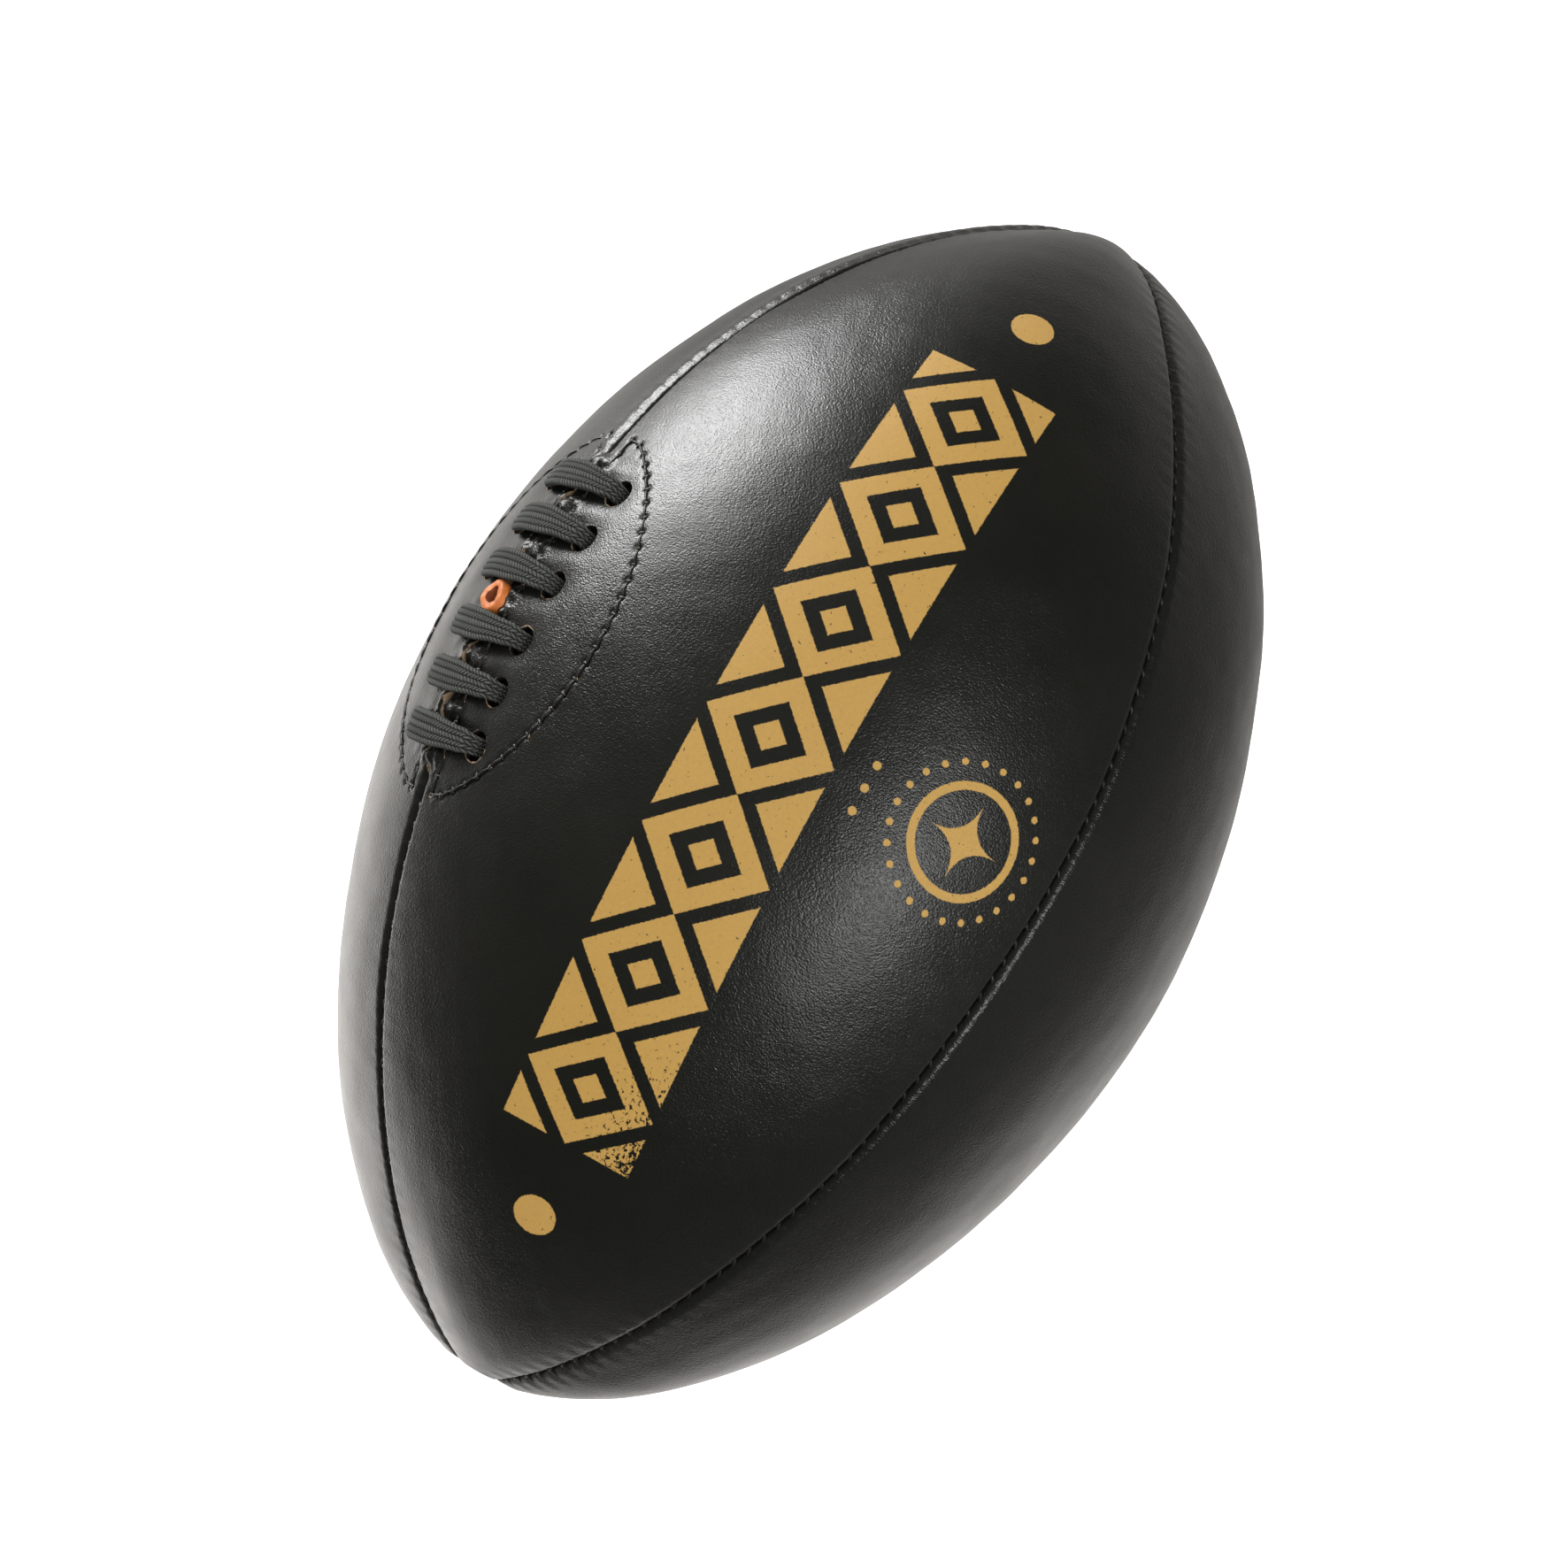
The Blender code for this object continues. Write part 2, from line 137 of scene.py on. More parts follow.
TABLE_X, TABLE_WALK = meridian_table()


def station(walk):
    return np.interp(walk, TABLE_WALK, TABLE_X)


def walk_to(x):
    return np.interp(x, TABLE_X, TABLE_WALK)


def wander(x, angle):
    """How far a point near a hand-sewn seam strays round the ball: a seam isn't quite straight."""
    near_laced = np.clip(np.cos(angle - LACED_SEAM), 0, 1) ** 2
    near_right = np.clip(np.cos(angle - radians(45)), 0, 1) ** 2
    near_lower_left = np.clip(np.cos(angle - radians(225)), 0, 1) ** 2
    laced = -1.6 * MM * smooth(-x, -60 * MM, 0) - 3.2 * MM * smooth(-x, 40 * MM, 120 * MM)
    right = 1.7 * MM * bell(x + 25 * MM, 45 * MM) - 2.3 * MM * smooth(-x, 70 * MM, 125 * MM) - 0.8 * MM
    bends_per_metre = 34 / tau
    lower_left = 1.5 * MM * np.sin(x * tau * bends_per_metre)
    stray = laced * near_laced + right * near_right + lower_left * near_lower_left
    return stray * smooth(HALF_LENGTH - np.abs(x), 1 * MM, 25 * MM) / outline(x)[0]


def seam_angle(arc, x):
    """The angle of a point at an arc from the laced seam, positive on the printed panel."""
    angle = LACED_SEAM + arc / outline(x)[0]
    return angle + wander(x, angle)


def slit_share(x):
    return np.maximum(0, 1 - (x / SLIT_HALF_LENGTH) ** 2)


def slit_half_width(x):
    """Half the gap between the lips: nearly shut, and spread apart where the tube comes through."""
    spread = np.maximum(0, 1 - (x / (3 * TUBE_RADIUS)) ** 2)
    return 0.25 * MM * slit_share(x) ** 0.5 + 2.6 * MM * spread


def slit_offset(x):
    """The slit lies a little to the left panel's side, so the top panel's flap is the wider one."""
    return 1.6 * MM * slit_share(x) * (1 - 0.75 * bell(x, 5 * MM))


def facing_width(x):
    """How far the D of the lace facing reaches from the seam."""
    return FACING_WIDTH * np.maximum(0, 1 - (x / FACING_HALF_LENGTH) ** 2) ** 0.65


def smooth(value, low, high):
    """An eased step from 0 at low to 1 at high."""
    t = np.clip((value - low) / (high - low), 0, 1)
    return t * t * (3 - 2 * t)


def bell(distance, width):
    """1 at no distance, and down to 0.37 at the width."""
    return np.exp(-((distance / width) ** 2))


def ripple(walk, wavelength):
    """A wandering ripple of about one wavelength, between about -1 and 1."""
    waves = 7
    total = np.zeros_like(walk)
    for _ in range(waves):
        length = wavelength * rng.uniform(0.7, 1.45)
        total = total + np.sin(walk * tau / length + rng.uniform(0, tau))
    return total / waves**0.5


def unevenness(x, angle, wavelength):
    """Slow hills and hollows in a panel, between about -1 and 1."""
    waves = 14
    place = skin(x, angle)
    total = np.zeros(place.shape[:-1])
    for _ in range(waves):
        direction = rng.normal(size=3)
        direction /= np.linalg.norm(direction)
        length = wavelength * rng.uniform(0.6, 1.8)
        total += np.sin(place @ direction * tau / length + rng.uniform(0, tau))
    return total / waves**0.5


# --------------------------------------------------------------------- materials

class Wire:
    """A node's output, with the arithmetic of Math nodes."""

    def __init__(self, tree, socket):
        self.tree, self.socket = tree, socket

    def math(self, operation, *others, clamp=False):
        node = self.tree.nodes.new("ShaderNodeMath")
        node.operation = operation
        node.use_clamp = clamp
        for slot, value in zip(node.inputs, (self, *others)):
            plug(self.tree, value, slot)
        return Wire(self.tree, node.outputs[0])

    def __add__(self, other):
        return self.math("ADD", other)

    def __sub__(self, other):
        return self.math("SUBTRACT", other)

    def __mul__(self, other):
        return self.math("MULTIPLY", other)

    def abs(self):
        return self.math("ABSOLUTE")

    def max(self, other):
        return self.math("MAXIMUM", other)

    def min(self, other):
        return self.math("MINIMUM", other)

    def clamp(self):
        return self.math("ADD", 0.0, clamp=True)

    def hypot(self, other):
        return (self * self + other * other).math("SQRT")

    def ramp(self, low, high, out_low=0.0, out_high=1.0):
        node = self.tree.nodes.new("ShaderNodeMapRange")
        for slot, value in zip(node.inputs, (self, low, high, out_low, out_high)):
            plug(self.tree, value, slot)
        return Wire(self.tree, node.outputs[0])


def plug(tree, value, slot):
    """Link a wire to a socket, or set a plain value on it."""
    if isinstance(value, Wire):
        tree.links.new(value.socket, slot)
    else:
        slot.default_value = value


class Paint:
    """A material's node tree, with short calls for the nodes that this file uses."""

    def __init__(self, name):
        self.material = bpy.data.materials.new(name)
        self.material.use_nodes = True
        self.tree = self.material.node_tree
        self.shader = self.tree.nodes["Principled BSDF"]

    def node(self, kind, output=0, **values):
        made = self.tree.nodes.new(kind)
        for key, value in values.items():
            if key in made.bl_rna.properties:
                setattr(made, key, value)
            else:
                plug(self.tree, value, made.inputs[key.replace("_", " ")])
        return Wire(self.tree, made.outputs[output])

    def place(self):
        return self.node("ShaderNodeTexCoord", "Object")

    def panel_map(self):
        """The distances along and across a panel, in metres."""
        return self.node("ShaderNodeUVMap", uv_map="panel")

    def axes(self, vector):
        parts = self.tree.nodes.new("ShaderNodeSeparateXYZ")
        plug(self.tree, vector, parts.inputs[0])
        return [Wire(self.tree, output) for output in parts.outputs]

    def stretched(self, vector, scale):
        return self.node("ShaderNodeMapping", Vector=vector, Scale=scale)

    def noise(self, vector, scale, detail=2.0, roughness=0.5):
        return self.node("ShaderNodeTexNoise", Vector=vector, Scale=scale, Detail=detail,
                         Roughness=roughness)

    def cells(self, vector, scale):
        return self.node("ShaderNodeTexVoronoi", feature="SMOOTH_F1", Vector=vector, Scale=scale)

    def mix(self, share, low, high):
        made = self.tree.nodes.new("ShaderNodeMix")
        made.data_type = "RGBA"
        for slot, value in ((0, share), (6, low), (7, high)):
            plug(self.tree, value, made.inputs[slot])
        return Wire(self.tree, made.outputs[2])

    def bump(self, height, distance):
        return self.node("ShaderNodeBump", Height=height, Distance=distance, Strength=1.0)

    def finish(self, **values):
        for key, value in values.items():
            plug(self.tree, value, self.shader.inputs[key.replace("_", " ")])
        return self.material


def colour(red, green, blue):
    return (red, green, blue, 1.0)


GOLD, WORN_GOLD = colour(0.47, 0.278, 0.058), colour(0.43, 0.25, 0.063)
BLACK, WORN_BLACK = colour(0.0058, 0.0061, 0.0046), colour(0.0085, 0.0084, 0.0064)


def lozenge_band(along, across):
    """A row of lozenges, each with a smaller one cut out of it, and the wedges between them."""
    half_height, lozenges, period = 14.8 * MM, 7, 27.2 * MM
    rim, core_inset, wedge_gap = 4.3 * MM, 7.4 * MM, 2.9 * MM
    slope = half_height / (period / 2)
    from_middle = across.abs()
    from_centre = along.math("PINGPONG", period / 2)
    edge = (from_centre * slope + from_middle - half_height) * (1 / (1 + slope**2) ** 0.5)
    outer = edge.max(edge * -1.0 - rim)
    core = edge + core_inset
    wedge = (edge * -1.0 + wedge_gap).max(from_middle - half_height)
    return outer.min(core).min(wedge).max(along.abs() - period * lozenges / 2)


def ornament(along, across):
    """A ring with a four-pointed star in it and a circle of beads round it."""
    ring_radius, ring_half_width = 11.5 * MM, 0.9 * MM
    bead_circle, bead_radius, beads = 16.4 * MM, 0.75 * MM, 24
    star_reach = 8.836 * MM
    from_centre = along.hypot(across)
    turn = across.math("ARCTAN2", along)
    ring = (from_centre - ring_radius).abs() - ring_half_width
    bead = turn.math("PINGPONG", pi / beads) * bead_circle
    bead = bead.hypot(from_centre - bead_circle) - bead_radius
    star = along.abs().math("SQRT") + across.abs().math("SQRT") - star_reach**0.5
    return ring.min(bead).min(star * 0.05)


def print_mask(paint):
    """Where the ink lies on the top panel: a lozenge band, two end dots, an ornament and small dots.

    Each shape is a distance from its edge, negative inside. The panel's UV map gives the places.
    """
    uv = paint.panel_map()
    along, across = paint.axes(uv)[:2]
    ragged = (paint.noise(uv, 1500, detail=3) - 0.5) * (0.5 * MM)
    band_along = along - 2 * MM
    band_across = across - 3.7 * MM
    band = lozenge_band(band_along, band_across)
    end_dots = (band_along.abs() - 114 * MM).hypot(band_across.abs()) - 4.7 * MM
    round_mark = ornament(along - 1 * MM, across - 49 * MM)
    small_dots = band_along.math("PINGPONG", 2.6 * MM).hypot(across - 25.5 * MM) - 0.9 * MM
    small_dots = small_dots.max(band_along.abs() - 9 * MM)
    shape = band.min(end_dots).min(round_mark).min(small_dots) + ragged
    ink = shape.ramp(0.10 * MM, -0.10 * MM)

    worn_end = along.ramp(60 * MM, 92 * MM) * across.ramp(4 * MM, 18 * MM)
    specks = paint.noise(uv, 900, detail=4, roughness=0.7) - (worn_end * 0.17)
    return ink * specks.ramp(0.33, 0.36)


def leather(name, printed=False, flat=True):
    """Black hide: a fine wrinkled grain, slow changes of gloss, and ink where it is printed.

    A flat hide's grain follows its UV map, in metres; another's follows the object's coordinates.
    """
    grain_depth = 0.07 * MM
    paint = Paint(name)
    place = paint.place()
    laid = paint.panel_map() if flat else place
    drift = paint.node("ShaderNodeTexNoise", output=1, Vector=laid, Scale=200.0, Detail=0.0)
    drift = paint.node("ShaderNodeVectorMath", operation="SCALE", Vector=drift, Scale=0.5 * MM)
    bent = paint.node("ShaderNodeVectorMath", operation="ADD", Vector=laid)
    paint.tree.links.new(drift.socket, bent.socket.node.inputs[1])
    grain = paint.stretched(bent, (3100, 2200, 2200))
    wrinkles = paint.noise(grain, 1.0, detail=2.0, roughness=0.5)
    pebbles = paint.cells(grain, 0.95)
    broad = paint.noise(laid, 1000, detail=1)
    fine = paint.noise(place, 4200, detail=2)
    height = wrinkles * 1.1 + pebbles * -1.0 + broad * 0.6 + fine * 0.15
    patches = paint.noise(place, 26, detail=3)
    handled = paint.noise(place, 90, detail=4, roughness=0.62)
    hide = paint.mix(patches.ramp(0.35, 0.68), BLACK, WORN_BLACK)
    rough = handled.ramp(0.3, 0.7, 0.27, 0.34)
    if printed:
        ink = print_mask(paint)
        flecks = paint.noise(place, 1400, detail=3).ramp(0.3, 0.75)
        gold = paint.mix(flecks, GOLD, WORN_GOLD)
        hide = paint.mix(ink, hide, gold)
        rough = rough + ink * 0.32
        height = height * (ink * -0.55 + 1.0) + ink * 0.3
    normal = paint.bump(height, grain_depth)
    return paint.finish(Base_Color=hide, Roughness=rough, Specular_IOR_Level=0.5, Normal=normal)


def raw_leather(name, low, high):
    """The fibrous cut edge of a hide, between two colours."""
    paint = Paint(name)
    fibres = paint.noise(paint.place(), 2600, detail=4, roughness=0.7)
    edge = paint.mix(fibres.ramp(0.3, 0.7), low, high)
    return paint.finish(Base_Color=edge, Roughness=0.85, Normal=paint.bump(fibres, 0.2 * MM))


def waxed_thread():
    paint = Paint("waxed_thread")
    twist = paint.noise(paint.place(), 2300, detail=2)
    black = paint.mix(twist, colour(0.003, 0.003, 0.003), colour(0.012, 0.012, 0.010))
    return paint.finish(Base_Color=black, Roughness=0.45, Normal=paint.bump(twist, 0.15 * MM))


def braid():
    """Charcoal cotton with pale fibre ends, and painted shade between its yarns and on its underside."""
    paint = Paint("braided_cotton")
    # gap is a painted shade colour: near black for the hollows between the yarns and for the braid's
    # underside.
    dark, pale, gap = (0.055, 0.058, 0.049), (0.170, 0.177, 0.156), (0.002, 0.0023, 0.002)
    painted_shade = paint.node("ShaderNodeAttribute", "Fac", attribute_name="painted_shade")
    fibres = paint.noise(paint.place(), 5200, detail=3, roughness=0.7)
    yarn = paint.mix(fibres.ramp(0.35, 0.75), colour(*dark), colour(*pale))
    cotton = paint.mix(painted_shade, yarn, colour(*gap))
    normal = paint.bump(fibres, 0.12 * MM)
    return paint.finish(Base_Color=cotton, Roughness=0.85, Sheen_Weight=0.05, Sheen_Roughness=0.5,
                        Specular_IOR_Level=0.25, Normal=normal)


def rubber(name, dark, light, rough):
    """Matt rubber with a bloom that drifts between two colours."""
    paint = Paint(name)
    place = paint.place()
    bloom = paint.noise(place, 420, detail=4, roughness=0.65)
    fine = paint.noise(place, 2600, detail=3)
    body = paint.mix(bloom.ramp(0.35, 0.7), dark, light)
    return paint.finish(Base_Color=body, Roughness=rough, Normal=paint.bump(fine + bloom, 0.1 * MM))


def canvas():
    """The lining's plain weave, with painted shade that turns it near black behind the lacing's slit."""
    thread_rate = 5200
    paint = Paint("lining_canvas")
    along, across, up = paint.axes(paint.place())
    x, y, z = ((axis * thread_rate).math("SINE").abs() for axis in (along, across, up))
    weave = x * y + y * z
    cloth = paint.mix(weave.clamp(), colour(0.33, 0.29, 0.22), colour(0.60, 0.55, 0.45))
    out_at_seam = across * sin(LACED_SEAM) + up * cos(LACED_SEAM)
    # Painted shade: the lining is made near black where it shows through the slit behind the lacing.
    painted_slit_shade = out_at_seam.ramp(80 * MM, 83 * MM) * along.abs().ramp(50 * MM, 44 * MM)
    cloth = paint.mix(painted_slit_shade, cloth, colour(0.006, 0.005, 0.004))
    return paint.finish(Base_Color=cloth, Roughness=0.92, Normal=paint.bump(weave, 0.1 * MM))


# ---------------------------------------------------------------- making meshes

def grid_faces(rows, columns, first=0, turned=False):
    """The quads of a grid of points counted row by row."""
    i, j = np.meshgrid(np.arange(rows - 1), np.arange(columns - 1), indexing="ij")
    a = first + i * columns + j
    quads = np.stack((a, a + 1, a + columns + 1, a + columns), axis=-1).reshape(-1, 4)
    return quads[:, ::-1] if turned else quads


def mesh_object(name, points, faces, materials, face_materials=None, sharp=None):
    mesh = bpy.data.meshes.new(name)
    mesh.from_pydata(np.asarray(points).tolist(), [], [list(map(int, f)) for f in faces])
    for material in materials:
        mesh.materials.append(material)
    if face_materials is not None:
        mesh.polygons.foreach_set("material_index", np.asarray(face_materials, dtype=np.int32))
    mesh.polygons.foreach_set("use_smooth", np.ones(len(mesh.polygons), dtype=bool))
    if sharp:
        mesh.set_sharp_from_angle(angle=sharp)
    mesh.update()
    obj = bpy.data.objects.new(name, mesh)
    bpy.context.scene.collection.objects.link(obj)
    return obj


def tube(centres, ups, radii):
    """Points and faces of a round tube along centres, closed at both ends."""
    sides = 8
    centres, radii = np.asarray(centres), np.broadcast_to(radii, len(centres))
    along = np.gradient(centres, axis=0)
    along /= np.linalg.norm(along, axis=1, keepdims=True)
    across = np.cross(along, ups)
    across /= np.linalg.norm(across, axis=1, keepdims=True)
    up = np.cross(across, along)
    turn = np.arange(sides) * tau / sides
    ring = across[:, None] * np.cos(turn)[:, None] + up[:, None] * np.sin(turn)[:, None]
    points = (centres[:, None] + ring * radii[:, None, None]).reshape(-1, 3)
    faces = []
    for i in range(len(centres) - 1):
        for k in range(sides):
            n = (k + 1) % sides
            faces.append((i * sides + k, i * sides + n, (i + 1) * sides + n, (i + 1) * sides + k))
    faces.append(tuple(range(sides))[::-1])
    faces.append(tuple(range((len(centres) - 1) * sides, len(centres) * sides)))
    return points, faces


def joined(shapes):
    """Points and faces of many shapes as one mesh's."""
    points, faces, count = [], [], 0
    for some_points, some_faces in shapes:
        points.append(some_points)
        faces += [tuple(v + count for v in face) for face in some_faces]
        count += len(some_points)
    return np.concatenate(points), faces


# ------------------------------------------------------------------ stitch paths

def spaced(points, step):
    """The same open path, with points at an even step along it."""
    points = np.asarray(points)
    walked = np.concatenate(([0], np.cumsum(np.linalg.norm(np.diff(points, axis=0), axis=1))))
    even = np.linspace(0, walked[-1], max(2, round(walked[-1] / step)) + 1)
    return np.stack([np.interp(even, walked, points[:, k]) for k in range(points.shape[1])], axis=1)


def facing_paths():
    """One D of back stitching, its straight and its curve, as rows of (x, arc from the seam)."""
    half, inset = 43.5 * MM, 4.4 * MM
    straight = [(-half, inset), (half, inset)]
    turn = np.linspace(0, pi, 120)
    x = half * np.cos(turn)
    curve = np.stack((x, np.maximum(facing_width(x), inset)), axis=1)
    curve[0, 1] = curve[-1, 1] = inset
    return spaced(straight, BACK_STITCH), spaced(curve, BACK_STITCH)


# ------------------------------------------------------------------------ panels

# Columns of the grid in the zone beside a seam, as shares of its width, closer towards the seam.
EDGE_STEPS = np.array((0, 0.03, 0.07, 0.12, 0.18, 0.24, 0.31, 0.38, 0.46, 0.55, 0.66, 0.80, 1.0))
EDGE_ZONE = 4.2 * MM


def columns_between(laced_side):
    """Where the columns between the two edge zones lie, closer on the laced side."""
    if not laced_side:
        return np.linspace(0, 1, 84)[1:-1]
    near = np.linspace(0, 0.27, 74)[1:]
    far = np.linspace(0.27, 1, 66)[1:-1]
    steps = np.concatenate((near, far))
    return steps if laced_side < 0 else 1 - steps[::-1]


def panel_grid(walk, centre, laced_side):
    """Every grid point's x and angle, and its distance from the seams on its two sides."""
    x = station(walk)[:, None]
    seam_radius = np.linalg.norm(skin(x, HALF_PANEL)[..., 1:], axis=-1)
    zone = np.minimum(EDGE_ZONE, seam_radius * HALF_PANEL / 2)
    gap = 0.06 * MM
    widest_sine = 0.7
    sides = []
    for side in (-1, 1):
        opening = slit_half_width(x) + laced_side * slit_offset(x) if side == laced_side else 0 * x
        off = gap + opening + EDGE_STEPS * zone
        sides.append(side * (HALF_PANEL - np.arcsin(np.minimum(off / seam_radius, widest_sine))))
    left, right = sides[0], sides[1][:, ::-1]
    between = left[:, -1:] + (right[:, :1] - left[:, -1:]) * columns_between(laced_side)
    local = np.concatenate((left, between, right), axis=1)
    from_left = seam_radius * np.sin(np.clip(HALF_PANEL + local, 0, pi / 2))
    from_right = seam_radius * np.sin(np.clip(HALF_PANEL - local, 0, pi / 2))
    angle = centre + local
    angle = angle + wander(x, angle)
    return np.broadcast_to(x, angle.shape), angle, from_left, from_right


def seam_relief(walk, distance, radius, opening_share, reach, puff):
    """Depth of a panel's rolled edge: a quarter round, tight at each stitch and gathered at the ends."""
    walk = walk[:, None]
    roll = reach * np.minimum(1, radius / (14 * MM)) * (1 - opening_share)
    tight = np.maximum(0, np.cos(walk * tau / SEAM_PITCH)) ** 6
    roll = roll * (1 - 0.22 * tight)
    inside = np.clip(roll - distance, 0, None)
    drop = roll - np.sqrt(np.maximum(roll**2 - inside**2, 0))
    near_end = smooth(np.abs(walk), 110 * MM, 170 * MM)
    gather = 0.055 * MM * ripple(walk, 1.5 * MM) * bell(distance, 2.6 * MM)
    pucker = np.cos(walk * tau / SEAM_PITCH + 0.6) * (0.03 * MM + 0.05 * MM * near_end)
    pucker = pucker * bell(distance - 2.2 * MM, 3.2 * MM)
    crest = 2.8 * MM
    slope = np.where(distance < crest, 1.5 * MM, 4.5 * MM)
    swell = puff * (1 - 0.35 * tight) * bell(distance - crest, slope)
    sunk = 0.40 * MM * near_end * bell(distance, 3 * MM)
    share = np.minimum(1, radius / (20 * MM)) * (1 - opening_share)
    return drop + (gather + pucker + sunk - swell) * share


def lacing_relief(x, arc):
    """Depth of the hide round the lacing: the facing behind it, the stitching, the holes and the lips."""
    inside = (facing_width(x) - arc) * (arc > 0)
    relief = -0.05 * MM * smooth(inside, 0, 2.4 * MM) * (np.abs(x) < FACING_HALF_LENGTH)
    for path in facing_paths():
        near_row = nearest(x, arc, spaced(path, 0.3 * MM))
        relief += 0.07 * MM * bell(near_row, 0.40 * MM)
        relief -= 0.02 * MM * bell(near_row - 1.1 * MM, 0.6 * MM)
        relief += 0.65 * MM * bell(nearest(x, arc, path), 0.70 * MM)
    off_bar = np.min(np.abs(x[..., None] - LACE_STATIONS), axis=-1)
    within = smooth(40 * MM - np.abs(x), 0, 4 * MM)
    between = smooth(off_bar, 2.0 * MM, 5.0 * MM) * within
    lip = smooth(6.2 * MM - arc, 0, 3.2 * MM)
    creases = unevenness(x, arc / RADIUS, 3.2 * MM) + 0.6 * unevenness(x, arc / RADIUS, 1.7 * MM)
    relief -= (0.95 * MM * between + 0.34 * MM * creases * within) * lip
    crumple = bell(arc - 6 * MM, 6 * MM) * within
    relief += 0.10 * MM * unevenness(x, arc / RADIUS, 6 * MM) * crumple
    relief += 0.45 * MM * (1 - between) * within * bell(arc - 5 * MM, 7 * MM)
    hole = np.hypot(off_bar, arc - HOLE_ARC)
    relief += 0.55 * MM * bell(hole, 5.0 * MM)
    return relief


def nearest(x, arc, path):
    """Distance on the surface from each point to the nearest point of a path."""
    found = np.full(x.shape, 1.0)
    box = (np.abs(x) < 50 * MM) & (arc < 40 * MM)
    some_x, some_arc = x[box], arc[box]
    best = np.full(some_x.shape, 1.0)
    for px, parc in path:
        best = np.minimum(best, np.hypot(some_x - px, some_arc - parc))
    found[box] = best
    return found


def hole_posts(side):
    """The punch for one panel's six lace holes."""
    bm = bmesh.new()
    for x in LACE_STATIONS:
        angle = float(seam_angle(side * HOLE_ARC, x))
        out = skin_axes(x, angle)[2]
        turn = Vector((0, 0, 1)).rotation_difference(out).to_matrix().to_4x4()
        spot = Matrix.Translation(Vector(skin(x, angle)))
        bmesh.ops.create_cone(bm, cap_ends=True, segments=40, radius1=HOLE_RADIUS, radius2=HOLE_RADIUS,
                              depth=20 * MM, matrix=spot @ turn)
    for vert in bm.verts:
        vert.co += Vector(rng.normal(scale=0.05 * MM, size=3))
    mesh = bpy.data.meshes.new("posts")
    bm.to_mesh(mesh)
    bm.free()
    return mesh


def punch_holes(panel, side, hole_wall_shade):
    """Cut the lace holes in a panel, with their walls in near-black leather that is painted shade."""
    posts = bpy.data.objects.new("posts", hole_posts(side))
    posts.data.materials.append(hole_wall_shade)
    bpy.context.scene.collection.objects.link(posts)
    modifier = panel.modifiers.new("holes", "BOOLEAN")
    modifier.operation = "DIFFERENCE"
    modifier.solver = "EXACT"
    modifier.material_mode = "TRANSFER"
    modifier.object = posts
    bpy.context.view_layer.update()
    cut = panel.evaluated_get(bpy.context.evaluated_depsgraph_get())
    mesh = bpy.data.meshes.new_from_object(cut)
    panel.modifiers.clear()
    panel.data = mesh
    mesh.set_sharp_from_angle(angle=radians(50))
    bpy.data.objects.remove(posts)


def outer_relief(walk, x, angle, distances, opening, laced_side):
    """Depth of a panel's outer surface under the smooth skin. The distances are from its two seams."""
    radius = outline(x)[0]
    relief = 0.16 * MM * unevenness(x, angle, 42 * MM) + 0.03 * MM * unevenness(x, angle, 9 * MM)
    for side, distance in zip((-1, 1), distances):
        share = opening if side == laced_side else 0 * x
        reach, puff = 1.15 * SEAM_ROLL, 0.05 * MM
        if side == laced_side:
            # Past the lacing's -X end the left panel's edge stands proud in a bead that hides the groove.
            proud = smooth(-x, 34 * MM, 46 * MM)
            reach = reach * (1 - 0.6 * proud)
            puff = 0.70 * MM * proud if side == 1 else 0 * x
        relief = relief + seam_relief(walk, distance, radius, share, reach, puff)
    if laced_side:
        arc = (angle - wander(x, angle) - LACED_SEAM + pi) % tau - pi
        relief = relief + lacing_relief(x, np.abs(arc) * radius)
    return relief


def inner_depth(x, distances, opening, laced_side):
    """Depth of a panel's inner surface, which rolls in with the outer one except along the opening."""
    roll = SEAM_ROLL * np.minimum(1, outline(x)[0] / (14 * MM))
    clear = opening * 9
    shallow = np.minimum(distances[0] + clear * (laced_side < 0), distances[1] + clear * (laced_side > 0))
    rolled = np.clip(roll - shallow, 0, None)
    return LEATHER + roll - np.sqrt(np.maximum(roll**2 - rolled**2, 0))


def panel_faces(rows, columns, inner_count, raw_rows, laced_side):
    """A panel's faces, and for each of them 1 where it is a raw edge of the opening and 0 elsewhere."""
    first = rows * columns
    faces = [grid_faces(rows, columns, turned=True), grid_faces(rows, inner_count, first)]
    kinds = [np.zeros(len(some), int) for some in faces]
    i = np.arange(rows - 1)
    for side, outer_column, inner_column in ((-1, 0, 0), (1, columns - 1, inner_count - 1)):
        a = i * columns + outer_column
        b = first + i * inner_count + inner_column
        wall = np.stack((a, a + columns, b + inner_count, b), axis=-1)
        faces.append(wall if side > 0 else wall[:, ::-1])
        kinds.append(raw_rows[:-1] * (side == laced_side))
    quads = np.concatenate(faces).tolist()
    for row, turned in ((0, False), (rows - 1, True)):
        edge = [row * columns + j for j in range(columns)]
        edge += [first + row * inner_count + j for j in reversed(range(inner_count))]
        quads.append(edge[::-1] if turned else edge)
    return quads, np.concatenate(kinds).tolist() + [0, 0]


def lay_flat(made, along, across):
    """Give a panel a UV map of the distances along and across it."""
    flat = np.stack((along, across), axis=-1).astype(np.float32)
    layer = made.data.uv_layers.new(name="panel")
    corners = np.empty(len(made.data.loops), dtype=np.int32)
    made.data.loops.foreach_get("vertex_index", corners)
    layer.data.foreach_set("uv", flat[corners].ravel())


